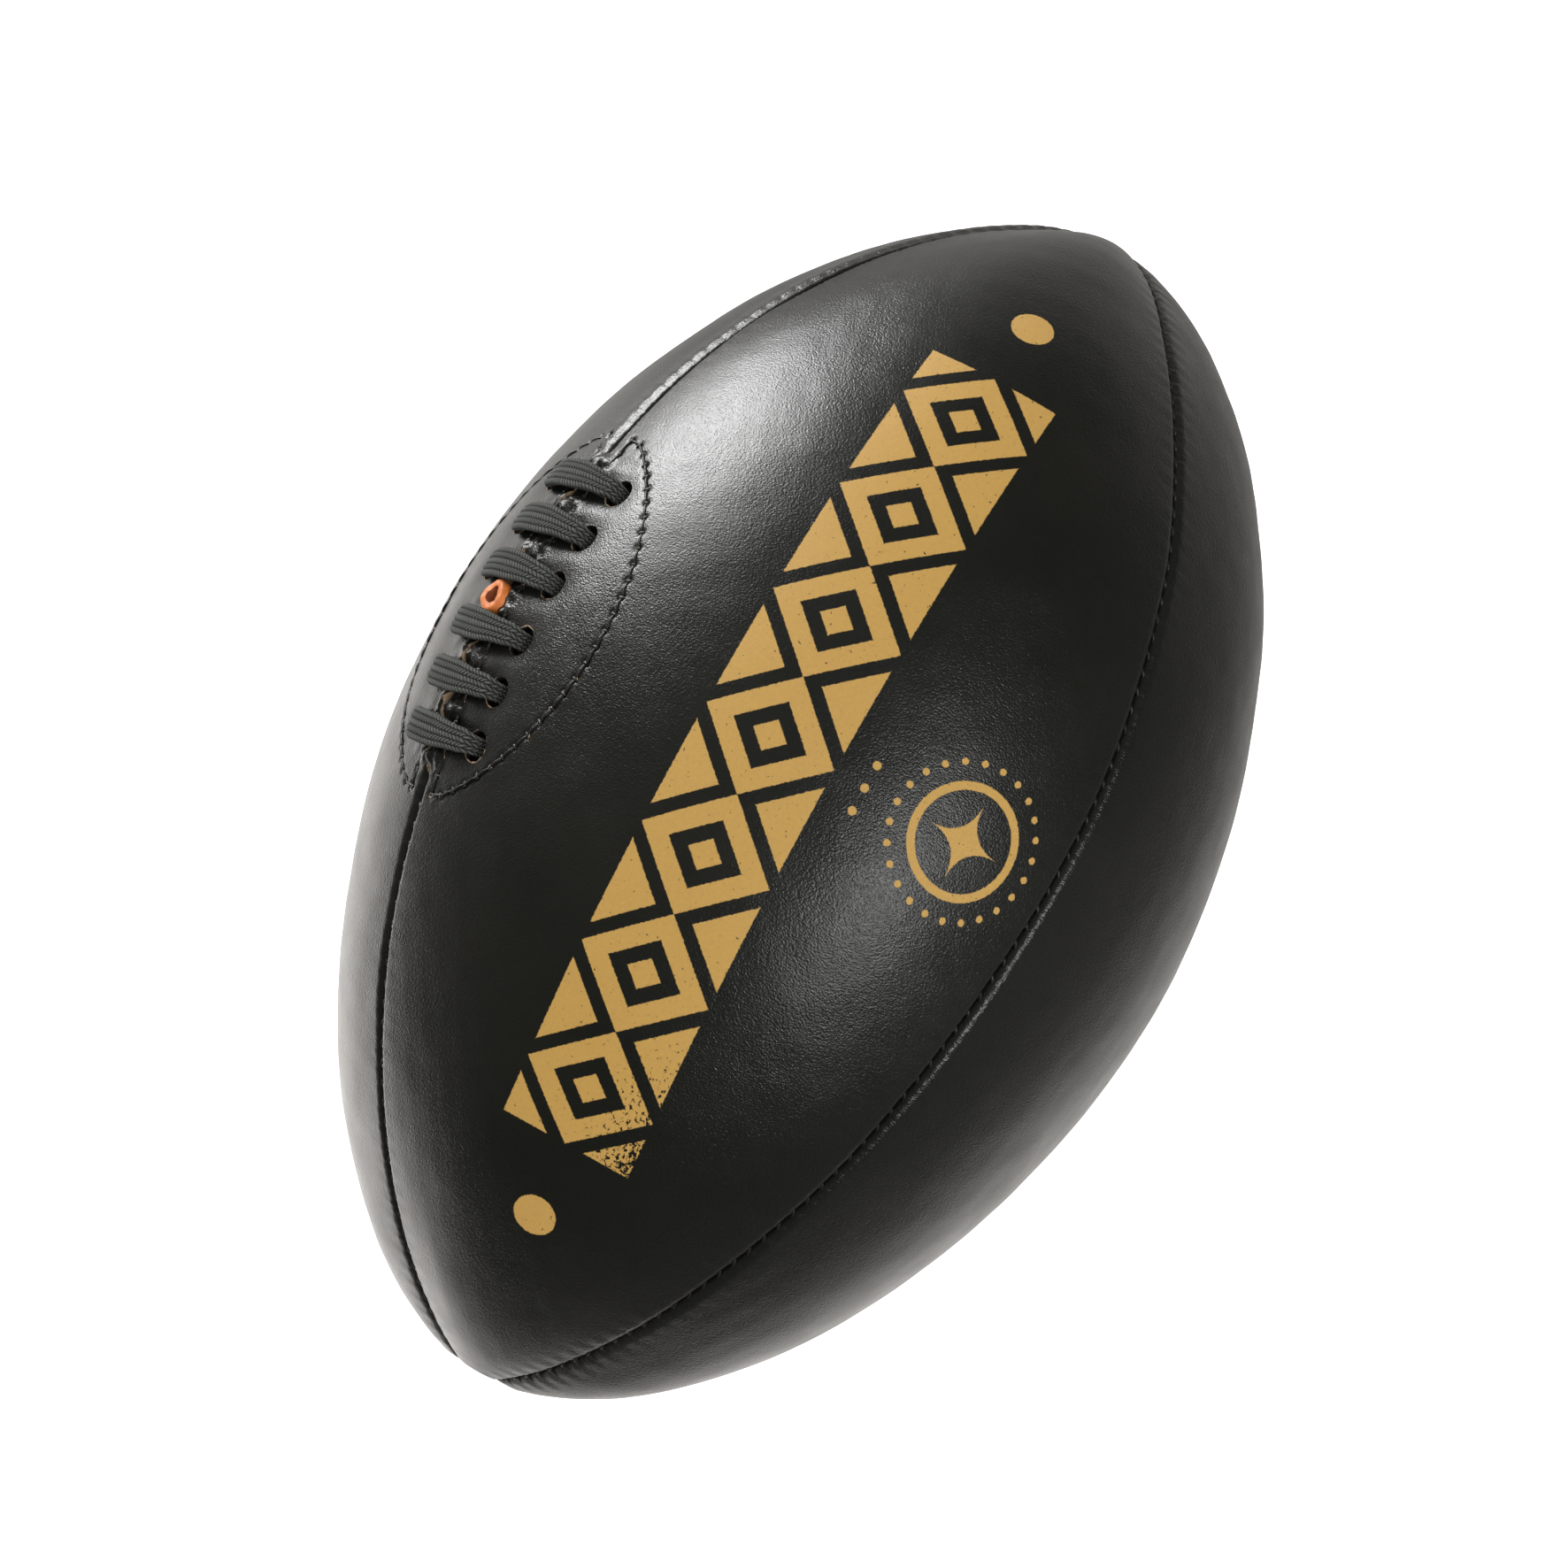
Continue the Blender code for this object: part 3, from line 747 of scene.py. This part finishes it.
def panel(place, centre, laced_side, hide, raw, hole_wall_shade):
    """One leather panel: a fine outer surface, a plain inner one, and the edge between them."""
    walk = np.linspace(TABLE_WALK[0], TABLE_WALK[-1], 620)
    x, angle, *distances = panel_grid(walk, centre, laced_side)
    opening = smooth(slit_share(x), 0.02, 0.22)
    relief = outer_relief(walk, x, angle, distances, opening, laced_side)
    outer = skin(x, angle, relief)

    rows, columns = x.shape
    zone = len(EDGE_STEPS)
    in_zone = np.arange(0, zone, 3)
    inner_columns = np.unique(np.concatenate((in_zone, np.arange(zone, columns - zone, 8),
                                              columns - 1 - in_zone)))
    pick = (slice(None), inner_columns)
    depth = inner_depth(x[pick], [distance[pick] for distance in distances], opening[pick], laced_side)
    inner = skin(x[pick], angle[pick], depth)

    raw_rows = (opening[:, 0] > 0.3).astype(int)
    quads, kinds = panel_faces(rows, columns, len(inner_columns), raw_rows, laced_side)
    points = np.concatenate((outer.reshape(-1, 3), inner.reshape(-1, 3)))
    made = mesh_object(f"hide_{place}", points, quads, (hide, raw), kinds)
    along = np.broadcast_to(walk[:, None], angle.shape)
    across = (angle - centre) * outline(x)[0]
    lay_flat(made, *(np.concatenate((part.ravel(), part[pick].ravel())) for part in (along, across)))
    if laced_side:
        punch_holes(made, -laced_side, hole_wall_shade)
    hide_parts(f"panel_{place}")
    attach(made, "root")


# --------------------------------------------------------------------- stitching

def seam_stitches(place, angle, low, high, thread):
    """Short loops of thread that cross a seam's groove at every stitch, from one walk to another."""
    shapes = []
    first, last = np.ceil(low / SEAM_PITCH), np.floor(high / SEAM_PITCH)
    for number in np.arange(first, last + 1):
        walk = number * SEAM_PITCH
        x = station(walk)
        radius = outline(x)[0] * (1 - SEAM_VALLEY * (abs(x) / HALF_LENGTH) ** 4)
        tight = min(1.0, radius / (16 * MM))
        t = np.linspace(-1, 1, 7)
        along = walk + t * 1.35 * MM
        arc = t * 0.95 * MM * tight
        depth = (0.95 + 0.90 * t**2) * MM * tight
        spot = angle + wander(station(along), angle) + arc / radius
        centres = skin(station(along), spot, depth)
        ups = skin(station(along), angle, 0) - skin(station(along), angle, MM)
        shapes.append(tube(centres, ups, 0.42 * MM * (1 - 0.25 * t**4)))
    points, faces = joined(shapes)
    made = mesh_object(f"stitches_{place}", points, faces, (thread,))
    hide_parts(f"seam_thread_{place}")
    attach(made, "root")


def thread_bit(xs, arcs, depth, side, size):
    """A short length of thread lying along points given by x and arc from the laced seam."""
    angle = seam_angle(side * arcs, xs)
    ups = skin(xs, angle, 0) - skin(xs, angle, MM)
    return tube(skin(xs, angle, depth), ups, size)


def back_stitches(place, side, thread, raw):
    """One D of back stitches, sunk at their needle holes, with flecks of raw hide beside some."""
    shapes, flecks = [], []
    for path in facing_paths():
        for (x0, arc0), (x1, arc1) in zip(path, path[1:]):
            t = np.linspace(0.03, 0.97, 9)
            depth = 0.36 * MM - 0.44 * MM * np.sin(pi * t) ** 0.7
            size = 0.34 * MM * (0.75 + 0.25 * np.sin(pi * t)) * rng.uniform(0.9, 1.12)
            shapes.append(thread_bit(x0 + (x1 - x0) * t, arc0 + (arc1 - arc0) * t, depth, side, size))
            # The next stitch starts behind this one's end, so their threads cross at the needle hole.
            away = np.array((arc1 - arc0, x0 - x1)) / np.hypot(x1 - x0, arc1 - arc0)
            reach = rng.uniform(0.55, 1.0) * MM
            t = np.linspace(-0.6, 1, 6) * (-1 if rng.random() < 0.3 else 1)
            depth = 0.20 * MM + 0.35 * MM * t**2
            xs, arcs = x1 - away[0] * reach * t, arc1 - away[1] * reach * t
            shapes.append(thread_bit(xs, arcs, depth, side, 0.44 * MM))
            if rng.random() < 0.7:
                flecks.append(fleck(x1, arc1, side))
    points, faces = joined(shapes)
    made = mesh_object(f"back_stitches_{place}", points, faces, (thread,))
    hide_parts(f"facing_thread_{place}")
    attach(made, "root")
    flecks += [hole_rim(x, side) for x in LACE_STATIONS]
    points, faces = joined(flecks)
    raw_edges = mesh_object(f"raw_edges_{place}", points, faces, (raw,))
    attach(raw_edges, "root")


def fleck(x, arc, side):
    """A few raw fibres that the needle drew up beside its hole."""
    size = rng.uniform(0.25, 0.48) * MM
    turn = rng.uniform(0, tau) + 1.7 * np.linspace(0, 1, 5)
    taper = 1 - 0.6 * np.linspace(0, 1, 5) ** 2
    return thread_bit(x + np.cos(turn) * size * 1.4, arc + np.sin(turn) * size * 1.4, 0.12 * MM, side,
                      size * 0.42 * taper)


def hole_rim(x, side):
    """The raw, ragged edge of one lace hole."""
    turn = np.linspace(0, tau, 61)
    ragged = sum(rng.uniform(-1, 1) * np.sin(k * turn + rng.uniform(0, tau)) for k in range(2, 12))
    reach = HOLE_RADIUS + 0.05 * MM + 0.035 * MM * ragged
    size = 0.13 * MM + 0.030 * MM * np.roll(ragged, 9)
    size = np.maximum(size * (0.75 + 0.45 * np.cos(turn - rng.uniform(0, tau))), 0.04 * MM)
    xs, arcs = x + reach * np.cos(turn), HOLE_ARC + reach * np.sin(turn)
    return thread_bit(xs, arcs, 0.47 * MM, side, size)


# -------------------------------------------------------------------------- lace

def lace_route():
    """The CAD's lace with rounder bars, as rows of (x, arc, depth, spread)."""
    under, bend, rise, crest = 5.3 * MM, 2.0 * MM, 1.35 * MM, 1.45 * MM
    drop = under + rise
    curve = [(bend * sin(a), bend * (1 - cos(a))) for a in np.linspace(0, pi / 2, 5)]
    low = [(arc, drop - fall) for arc, fall in curve][::-1]
    hook = [(arc, fall - rise) for arc, fall in curve + low]
    # The braid's width as a share of its full width, from each bar's end down through the hole.
    right_spread = [0.76, 0.70, 0.64, 0.60, 0.58, 0.58, 0.60, 0.62, 0.65, 0.65]
    left_spread = [0.97, 0.94, 0.88, 0.80, 0.70, 0.66, 0.65, 0.65, 0.65, 0.65]
    start = HOLE_ARC - bend - 0.6 * MM
    first, last = LACE_STATIONS[0], LACE_STATIONS[-1]
    route = [(first, arc * MM, under, 0.65) for arc in (3, 7, 11)]
    for number, x in enumerate(LACE_STATIONS):
        sway = rng.uniform(-0.5, 0.5) * MM
        route += [(x, start + arc, depth, wide) for (arc, depth), wide in zip(hook, right_spread)][::-1]
        for t in np.linspace(1, -1, 9)[1:-1]:
            wide = 0.77 + 0.25 * smooth(-t, -0.9, -0.05)
            route.append((x + sway * (1 - t * t), start * t, -rise - crest * (1 - abs(t) ** 2.4), wide))
        route += [(x, -start - arc, depth, wide) for (arc, depth), wide in zip(hook, left_spread)]
        if x == last:
            break
        step = LACE_STATIONS[number + 1] - x
        passes_valve = x < 0 < x + step
        for i in range(1, 8):
            share = i / 8
            slant = min(1.0, share / 0.4) if passes_valve else share
            eased = slant * slant * (3 - 2 * slant)
            route.append((x + step * eased, start * (2 * share - 1), under, 0.65))
    route += [(last, -arc * MM, under, 0.65) for arc in (11, 7, 3)]
    return np.array(route, dtype=float)


def eased_path(points, fine):
    """A smooth curve through points, in small steps where fine is set and in long ones elsewhere."""
    fine_step, coarse_step = 0.15 * MM, 0.8 * MM
    rows = []
    count = len(points)
    for i in range(count - 1):
        p0, p1 = points[max(i - 1, 0)], points[i]
        p2, p3 = points[i + 1], points[min(i + 2, count - 1)]
        length = np.hypot(p2[0] - p1[0], np.hypot(p2[1] - p1[1], p2[2] - p1[2]))
        step = fine_step if fine[i] or fine[i + 1] else coarse_step
        steps = max(1, int(round(length / step)))
        for t in np.arange(steps) / steps:
            rows.append(0.5 * (2 * p1 + (p2 - p0) * t + (2 * p0 - 5 * p1 + 4 * p2 - p3) * t**2
                               + (3 * p1 - p0 - 3 * p2 + p3) * t**3))
    rows.append(points[-1])
    return np.array(rows)


def braid_section():
    """The braid's outline: each point's place across (-1 to 1), and whether it is on the upper face."""
    top = np.linspace(-1, 1, RIBS * 10 + 1)
    bottom = np.linspace(1, -1, 16)[1:-1]
    upper = np.concatenate((np.ones(len(top)), -np.ones(len(bottom))))
    return np.concatenate((top, bottom)), upper


def braid_pattern(walked, w):
    """How full the ribs are at each place across the braid, and how full the slanting yarns are."""
    pitch = 1.06 * MM
    rib = (w + 1) / 2 * RIBS
    in_rib = rib - np.floor(np.minimum(rib, RIBS - 1e-6))
    round_rib = np.sqrt(np.maximum(0, 1 - (2 * in_rib - 1) ** 2))
    slant = np.where(np.floor(rib) % 2 < 1, 1.0, -1.0) * (in_rib - 0.5)
    shift = np.floor(rib) * 0.37
    phase = (walked / pitch + 0.12 * ripple(walked, 6 * MM))[:, None] + slant * 1.1 + shift
    return round_rib, np.abs(np.sin(phase * pi)) ** 0.8


def lace(cotton):
    """A flat braid of five ribs, each a row of small slanting yarns."""
    half_width, half_thick, swelling = 3.55 * MM, 0.85 * MM, 0.12 * MM
    route = lace_route()
    x, arc, depth, spread = eased_path(route, route[:, 2] < 2.5 * MM).T
    angle = seam_angle(arc, x)
    centres = skin(x, angle, depth)
    along = np.gradient(centres, axis=0)
    walked = np.concatenate(([0], np.cumsum(np.linalg.norm(np.diff(centres, axis=0), axis=1))))
    along /= np.linalg.norm(along, axis=1, keepdims=True)
    _, normal_x, normal_r = outline(x)
    out = np.stack((normal_x, normal_r * np.sin(angle), normal_r * np.cos(angle)), axis=-1)
    around = np.stack((0 * x, np.cos(angle), -np.sin(angle)), axis=-1)
    lengthwise = np.cross(around, out)
    across = lengthwise - along * np.sum(along * lengthwise, axis=1, keepdims=True)
    across /= np.linalg.norm(across, axis=1, keepdims=True)
    up = np.cross(along, across)

    w, upper = braid_section()
    round_rib, yarn = braid_pattern(walked, w)
    seen = fine_share(depth)[:, None]
    relief = 0.50 * MM * (round_rib * (0.20 + 0.80 * yarn) - 1) * seen
    relief = relief * (upper > 0) * np.where(np.abs(w) < 0.999, 1, 0.3)
    crown = np.sqrt(np.maximum(0, 1 - np.abs(w) ** 5))
    thick = half_thick * (1.9 - 0.9 * spread[:, None]) * (0.35 + 0.65 * crown) + relief + swelling
    sag = 0.10 * MM * (1 - w**2)
    flat = half_width * spread[:, None] * np.sign(w) * np.abs(w) ** 0.97
    rise = upper * thick + sag
    points = centres[:, None] + across[:, None] * flat[..., None] + up[:, None] * rise[..., None]

    rings, count = points.shape[:2]
    index = np.arange(rings * count).reshape(rings, count)
    a, b = index[:-1], index[1:]
    quads = np.stack((a, np.roll(a, -1, 1), np.roll(b, -1, 1), b), axis=-1).reshape(-1, 4).tolist()
    quads += [index[0].tolist()[::-1], index[-1].tolist()]
    made = mesh_object("braided_lace", points.reshape(-1, 3), quads, (cotton,))
    # Painted shade: near black in the hollows between the yarns on the upper face, and partly darkened on
    # the underside that lies against the hide.
    painted_shade = np.clip((1 - round_rib * (0.12 + 0.88 * yarn)) * 1.35 * (upper > 0), 0, 1) * seen
    painted_shade = np.maximum(painted_shade, 0.35 * (upper < 0))
    attribute = made.data.attributes.new("painted_shade", "FLOAT", "POINT")
    attribute.data.foreach_set("value", painted_shade.astype(np.float32).ravel())
    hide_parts("lace")
    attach(made, "root")


def fine_share(depth):
    """1 on the parts of the lace that show, fading to 0 under the hide."""
    return 1 - smooth(depth, 2.0 * MM, 3.5 * MM)


# -------------------------------------------------------------------- valve tube

def valve_tube(orange, shaded):
    """The bladder's thick rubber tube: cut off square, and pinched to a drop by the lace beside it."""
    foot, mouth = skin(0, LACED_SEAM), skin(0, float(seam_angle(-0.4 * MM, 0)))
    along, around, out = (np.array(axis) for axis in skin_axes(0, LACED_SEAM))
    turn = np.linspace(0, tau, 72, endpoint=False)
    pinch = bell(np.angle(np.exp(1j * (turn - pi))), 0.50)
    wobble = 0.02 * np.sin(3 * turn + 0.8) + 0.012 * np.sin(5 * turn + 2.0)
    cut_face = 0.10 * MM * np.sin(2 * turn + 1) + 0.05 * MM * np.sin(7 * turn) + 0.45 * MM * np.sin(turn)

    def ring(radius, depth, squeeze, sharp=0.36):
        r = radius * (1 + (sharp * pinch + wobble) * squeeze)
        x = np.cos(turn) * r + 0.55 * MM * squeeze
        y = np.sin(turn) * r * (1 - 0.06 * squeeze)
        place = foot + (mouth - foot) * squeeze
        return place + x[:, None] * along + y[:, None] * around - (depth + 0 * turn)[:, None] * out

    lip_depth = -2.5 * MM
    outer, bore = 1.10 * TUBE_RADIUS, 0.42 * 1.10 * TUBE_RADIUS
    rings = [ring(0.98 * TUBE_RADIUS, 10.2 * MM, 0), ring(0.98 * TUBE_RADIUS, 7 * MM, 0)]
    for t in np.linspace(0, 1, 10):
        width = TUBE_RADIUS + (outer - TUBE_RADIUS) * t
        rings.append(ring(width, 6.0 * MM * (1 - t) + (lip_depth + 0.22 * MM + cut_face) * t, t))
    for share, fall in ((0.955, 0), (0.80, -0.05 * MM), (0.60, 0.02 * MM)):
        rings.append(ring(share * outer, lip_depth + fall + cut_face, 1))
    bore_starts = len(rings)
    rings.append(ring(0.46 * outer, lip_depth + 0.10 * MM + cut_face, 1, sharp=0.75))
    for t in np.linspace(0.08, 1, 8):
        rings.append(ring(bore, lip_depth + t * 12 * MM + cut_face * (1 - t), 1 - t, sharp=0.75))
    count = len(turn)
    index = np.arange(len(rings) * count).reshape(len(rings), count)
    a, b = index, np.roll(index, -1, 0)
    quads = np.stack((a, np.roll(a, -1, 1), np.roll(b, -1, 1), b), axis=-1).reshape(-1, 4)
    kinds = np.where(np.arange(len(quads)) // count >= bore_starts, 1, 0)
    made = mesh_object("rubber_tube", np.concatenate(rings), quads.tolist(), (orange, shaded), kinds,
                       sharp=radians(55))
    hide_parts("valve_tube")
    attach(made, "root")


# --------------------------------------------------------------------- the scene

def camera():
    """Above the printed panel, a little towards the +X end, turned so that end is at the lower left."""
    view = bpy.data.cameras.new("camera")
    view.sensor_width = 36
    view.lens = 75.6
    view.clip_start = 0.01
    obj = bpy.data.objects.new("camera", view)
    obj.location = (0.0824, 0.1276, 0.7344)
    obj.rotation_euler = [radians(turn) for turn in (10.606, 5.837, 119.405)]
    bpy.context.scene.collection.objects.link(obj)
    bpy.context.scene.camera = obj


def softbox(name, direction, distance, width, height, power, in_gloss=True, in_matt=True):
    """A soft light that faces the ball, and shows in its gloss, its matt colour or both."""
    light = bpy.data.lights.new(name, "AREA")
    light.shape = "RECTANGLE"
    light.size, light.size_y = width, height
    light.energy = power
    obj = bpy.data.objects.new(name, light)
    place = Vector(direction).normalized() * distance
    obj.location = place
    obj.rotation_euler = place.to_track_quat("Z", "Y").to_euler()
    obj.visible_camera = False
    obj.visible_glossy = in_gloss
    obj.visible_diffuse = in_matt
    bpy.context.scene.collection.objects.link(obj)


def surroundings():
    """What the ball reflects: pale from beneath, most of all on the laced side, and dim overhead."""
    world = bpy.data.worlds.new("studio")
    world.use_nodes = True
    tree = world.node_tree
    direction = tree.nodes.new("ShaderNodeTexCoord").outputs["Generated"]
    parts = tree.nodes.new("ShaderNodeSeparateXYZ")
    tree.links.new(direction, parts.inputs[0])
    x, y, z = (Wire(tree, parts.outputs[k]) for k in range(3))
    far_right = (x * -0.84 + y * 0.54).ramp(0.55, 1.0, 1.0, 0.35)
    base = z.ramp(0.40, 0.0, 0.14, 0.24) * x.ramp(0.20, 0.85, 1.0, 0.40)
    left = (x * 0.50 + y * -0.87).ramp(0.30, 0.75) * z.ramp(-0.22, -0.62, 0.0, 1.9)
    far_end = (x * -1.0).ramp(0.50, 0.90) * z.ramp(0.0, -0.50, 0.0, 0.58)
    beneath = z.ramp(-0.60, -0.86, 0.0, 0.85) * x.ramp(-0.35, 0.25, 0.30, 1.50)
    strength = (base + left + far_end + beneath) * far_right
    backdrop = tree.nodes["Background"]
    plug(tree, strength, backdrop.inputs["Strength"])
    plug(tree, colour(1.0, 0.97, 0.93), backdrop.inputs["Color"])
    bpy.context.scene.world = world


def cyclorama():
    """A pale floor that curves up into walls all round."""
    paint = Paint("pale_floor")
    grain = paint.noise(paint.place(), 40, detail=3)
    tone = paint.mix(grain, colour(0.90, 0.90, 0.90), colour(0.93, 0.93, 0.93))
    paint.finish(Base_Color=tone, Roughness=0.8, Emission_Color=colour(1, 1, 1), Emission_Strength=0.62)
    reach, bend, sides = 2.6, 1.2, 64
    profile = [(0.02, 0.0), (1.0, 0.0)]
    profile += [(reach + bend * sin(a), bend * (1 - cos(a))) for a in np.linspace(0, pi / 2, 9)]
    turn = np.arange(sides) * tau / sides
    points = [(r * cos(t), r * sin(t), cad_box[0][2] + h) for r, h in profile for t in turn]
    faces = [tuple(range(sides))]
    for i in range(len(profile) - 1):
        for k in range(sides):
            n = (k + 1) % sides
            faces.append((i * sides + k, (i + 1) * sides + k, (i + 1) * sides + n, i * sides + n))
    floor = mesh_object("floor", points, faces, [paint.material])
    floor.visible_glossy = False


def studio():
    """A key light on the laced side, in matt and gloss parts, one on the right and one overhead."""
    bpy.context.scene.view_settings.view_transform = "Standard"
    surroundings()
    cyclorama()
    softbox("key", (-0.45, -0.86, 0.18), 0.9, 0.48, 0.42, 5.2, in_gloss=False)
    softbox("key_gloss", (-0.53, -0.84, 0.11), 0.9, 0.44, 0.38, 9.0, in_matt=False)
    softbox("beside_key", (-0.50, -0.75, 0.43), 0.9, 0.40, 0.40, 2.6, in_matt=False)
    softbox("side", (0.10, 0.62, 0.75), 1.2, 0.38, 0.38, 5.4)
    softbox("top", (0.0, -0.15, 1.0), 1.6, 2.4, 2.4, 26, in_gloss=False)


def cad_materials():
    """Materials for the CAD pieces that stay as they are, behind and inside the panels."""
    cloth = canvas()
    bladder = rubber("bladder_rubber", colour(0.02, 0.017, 0.015), colour(0.05, 0.042, 0.036), 0.55)
    patch = rubber("patch_rubber", colour(0.45, 0.12, 0.03), colour(0.62, 0.19, 0.045), 0.6)
    flap = leather("tongue_leather", flat=False)
    kinds = {"lining": cloth, "lace_facing": flap, "tongue": flap, "bladder": bladder,
             "valve_patch": patch}
    for node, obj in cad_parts.items():
        for start, material in kinds.items():
            if node.startswith(start):
                obj.data.materials.clear()
                obj.data.materials.append(material)


def main():
    camera()
    studio()
    raw = raw_leather("raw_leather", colour(0.10, 0.052, 0.026), colour(0.47, 0.35, 0.22))
    # Painted shade: the lace holes' walls are near black, standing in for the shade inside the holes.
    hole_wall_shade = raw_leather("hole_wall_shade_leather", colour(0.004, 0.003, 0.0025), colour(0.022, 0.015, 0.010))
    thread = waxed_thread()
    hide = leather("black_hide")
    cad_materials()
    panel("top", 0.0, -1, leather("printed_hide", printed=True), raw, hole_wall_shade)
    panel("right", radians(90), 0, hide, raw, hole_wall_shade)
    panel("bottom", radians(180), 0, hide, raw, hole_wall_shade)
    panel("left", radians(270), 1, hide, raw, hole_wall_shade)

    end = TABLE_WALK[-1] - 9 * MM
    facing_end = walk_to(FACING_HALF_LENGTH)
    seam_stitches("right", radians(45), -end, end, thread)
    seam_stitches("lower_right", radians(135), -end, end, thread)
    seam_stitches("lower_left", radians(225), -end, end, thread)
    seam_stitches("laced_front", LACED_SEAM, facing_end, end, thread)
    seam_stitches("laced_back", LACED_SEAM, -end, -facing_end, thread)
    back_stitches("top", 1, thread, raw)
    back_stitches("left", -1, thread, raw)
    lace(braid())
    orange = rubber("orange_rubber", colour(0.52, 0.135, 0.025), colour(0.72, 0.225, 0.05), 0.55)
    # Painted shade: a darker copy of the orange rubber for the inside of the tube's bore.
    shaded = rubber("bore_shade_rubber", colour(0.15, 0.03, 0.006), colour(0.22, 0.05, 0.01), 0.7)
    valve_tube(orange, shaded)


main()
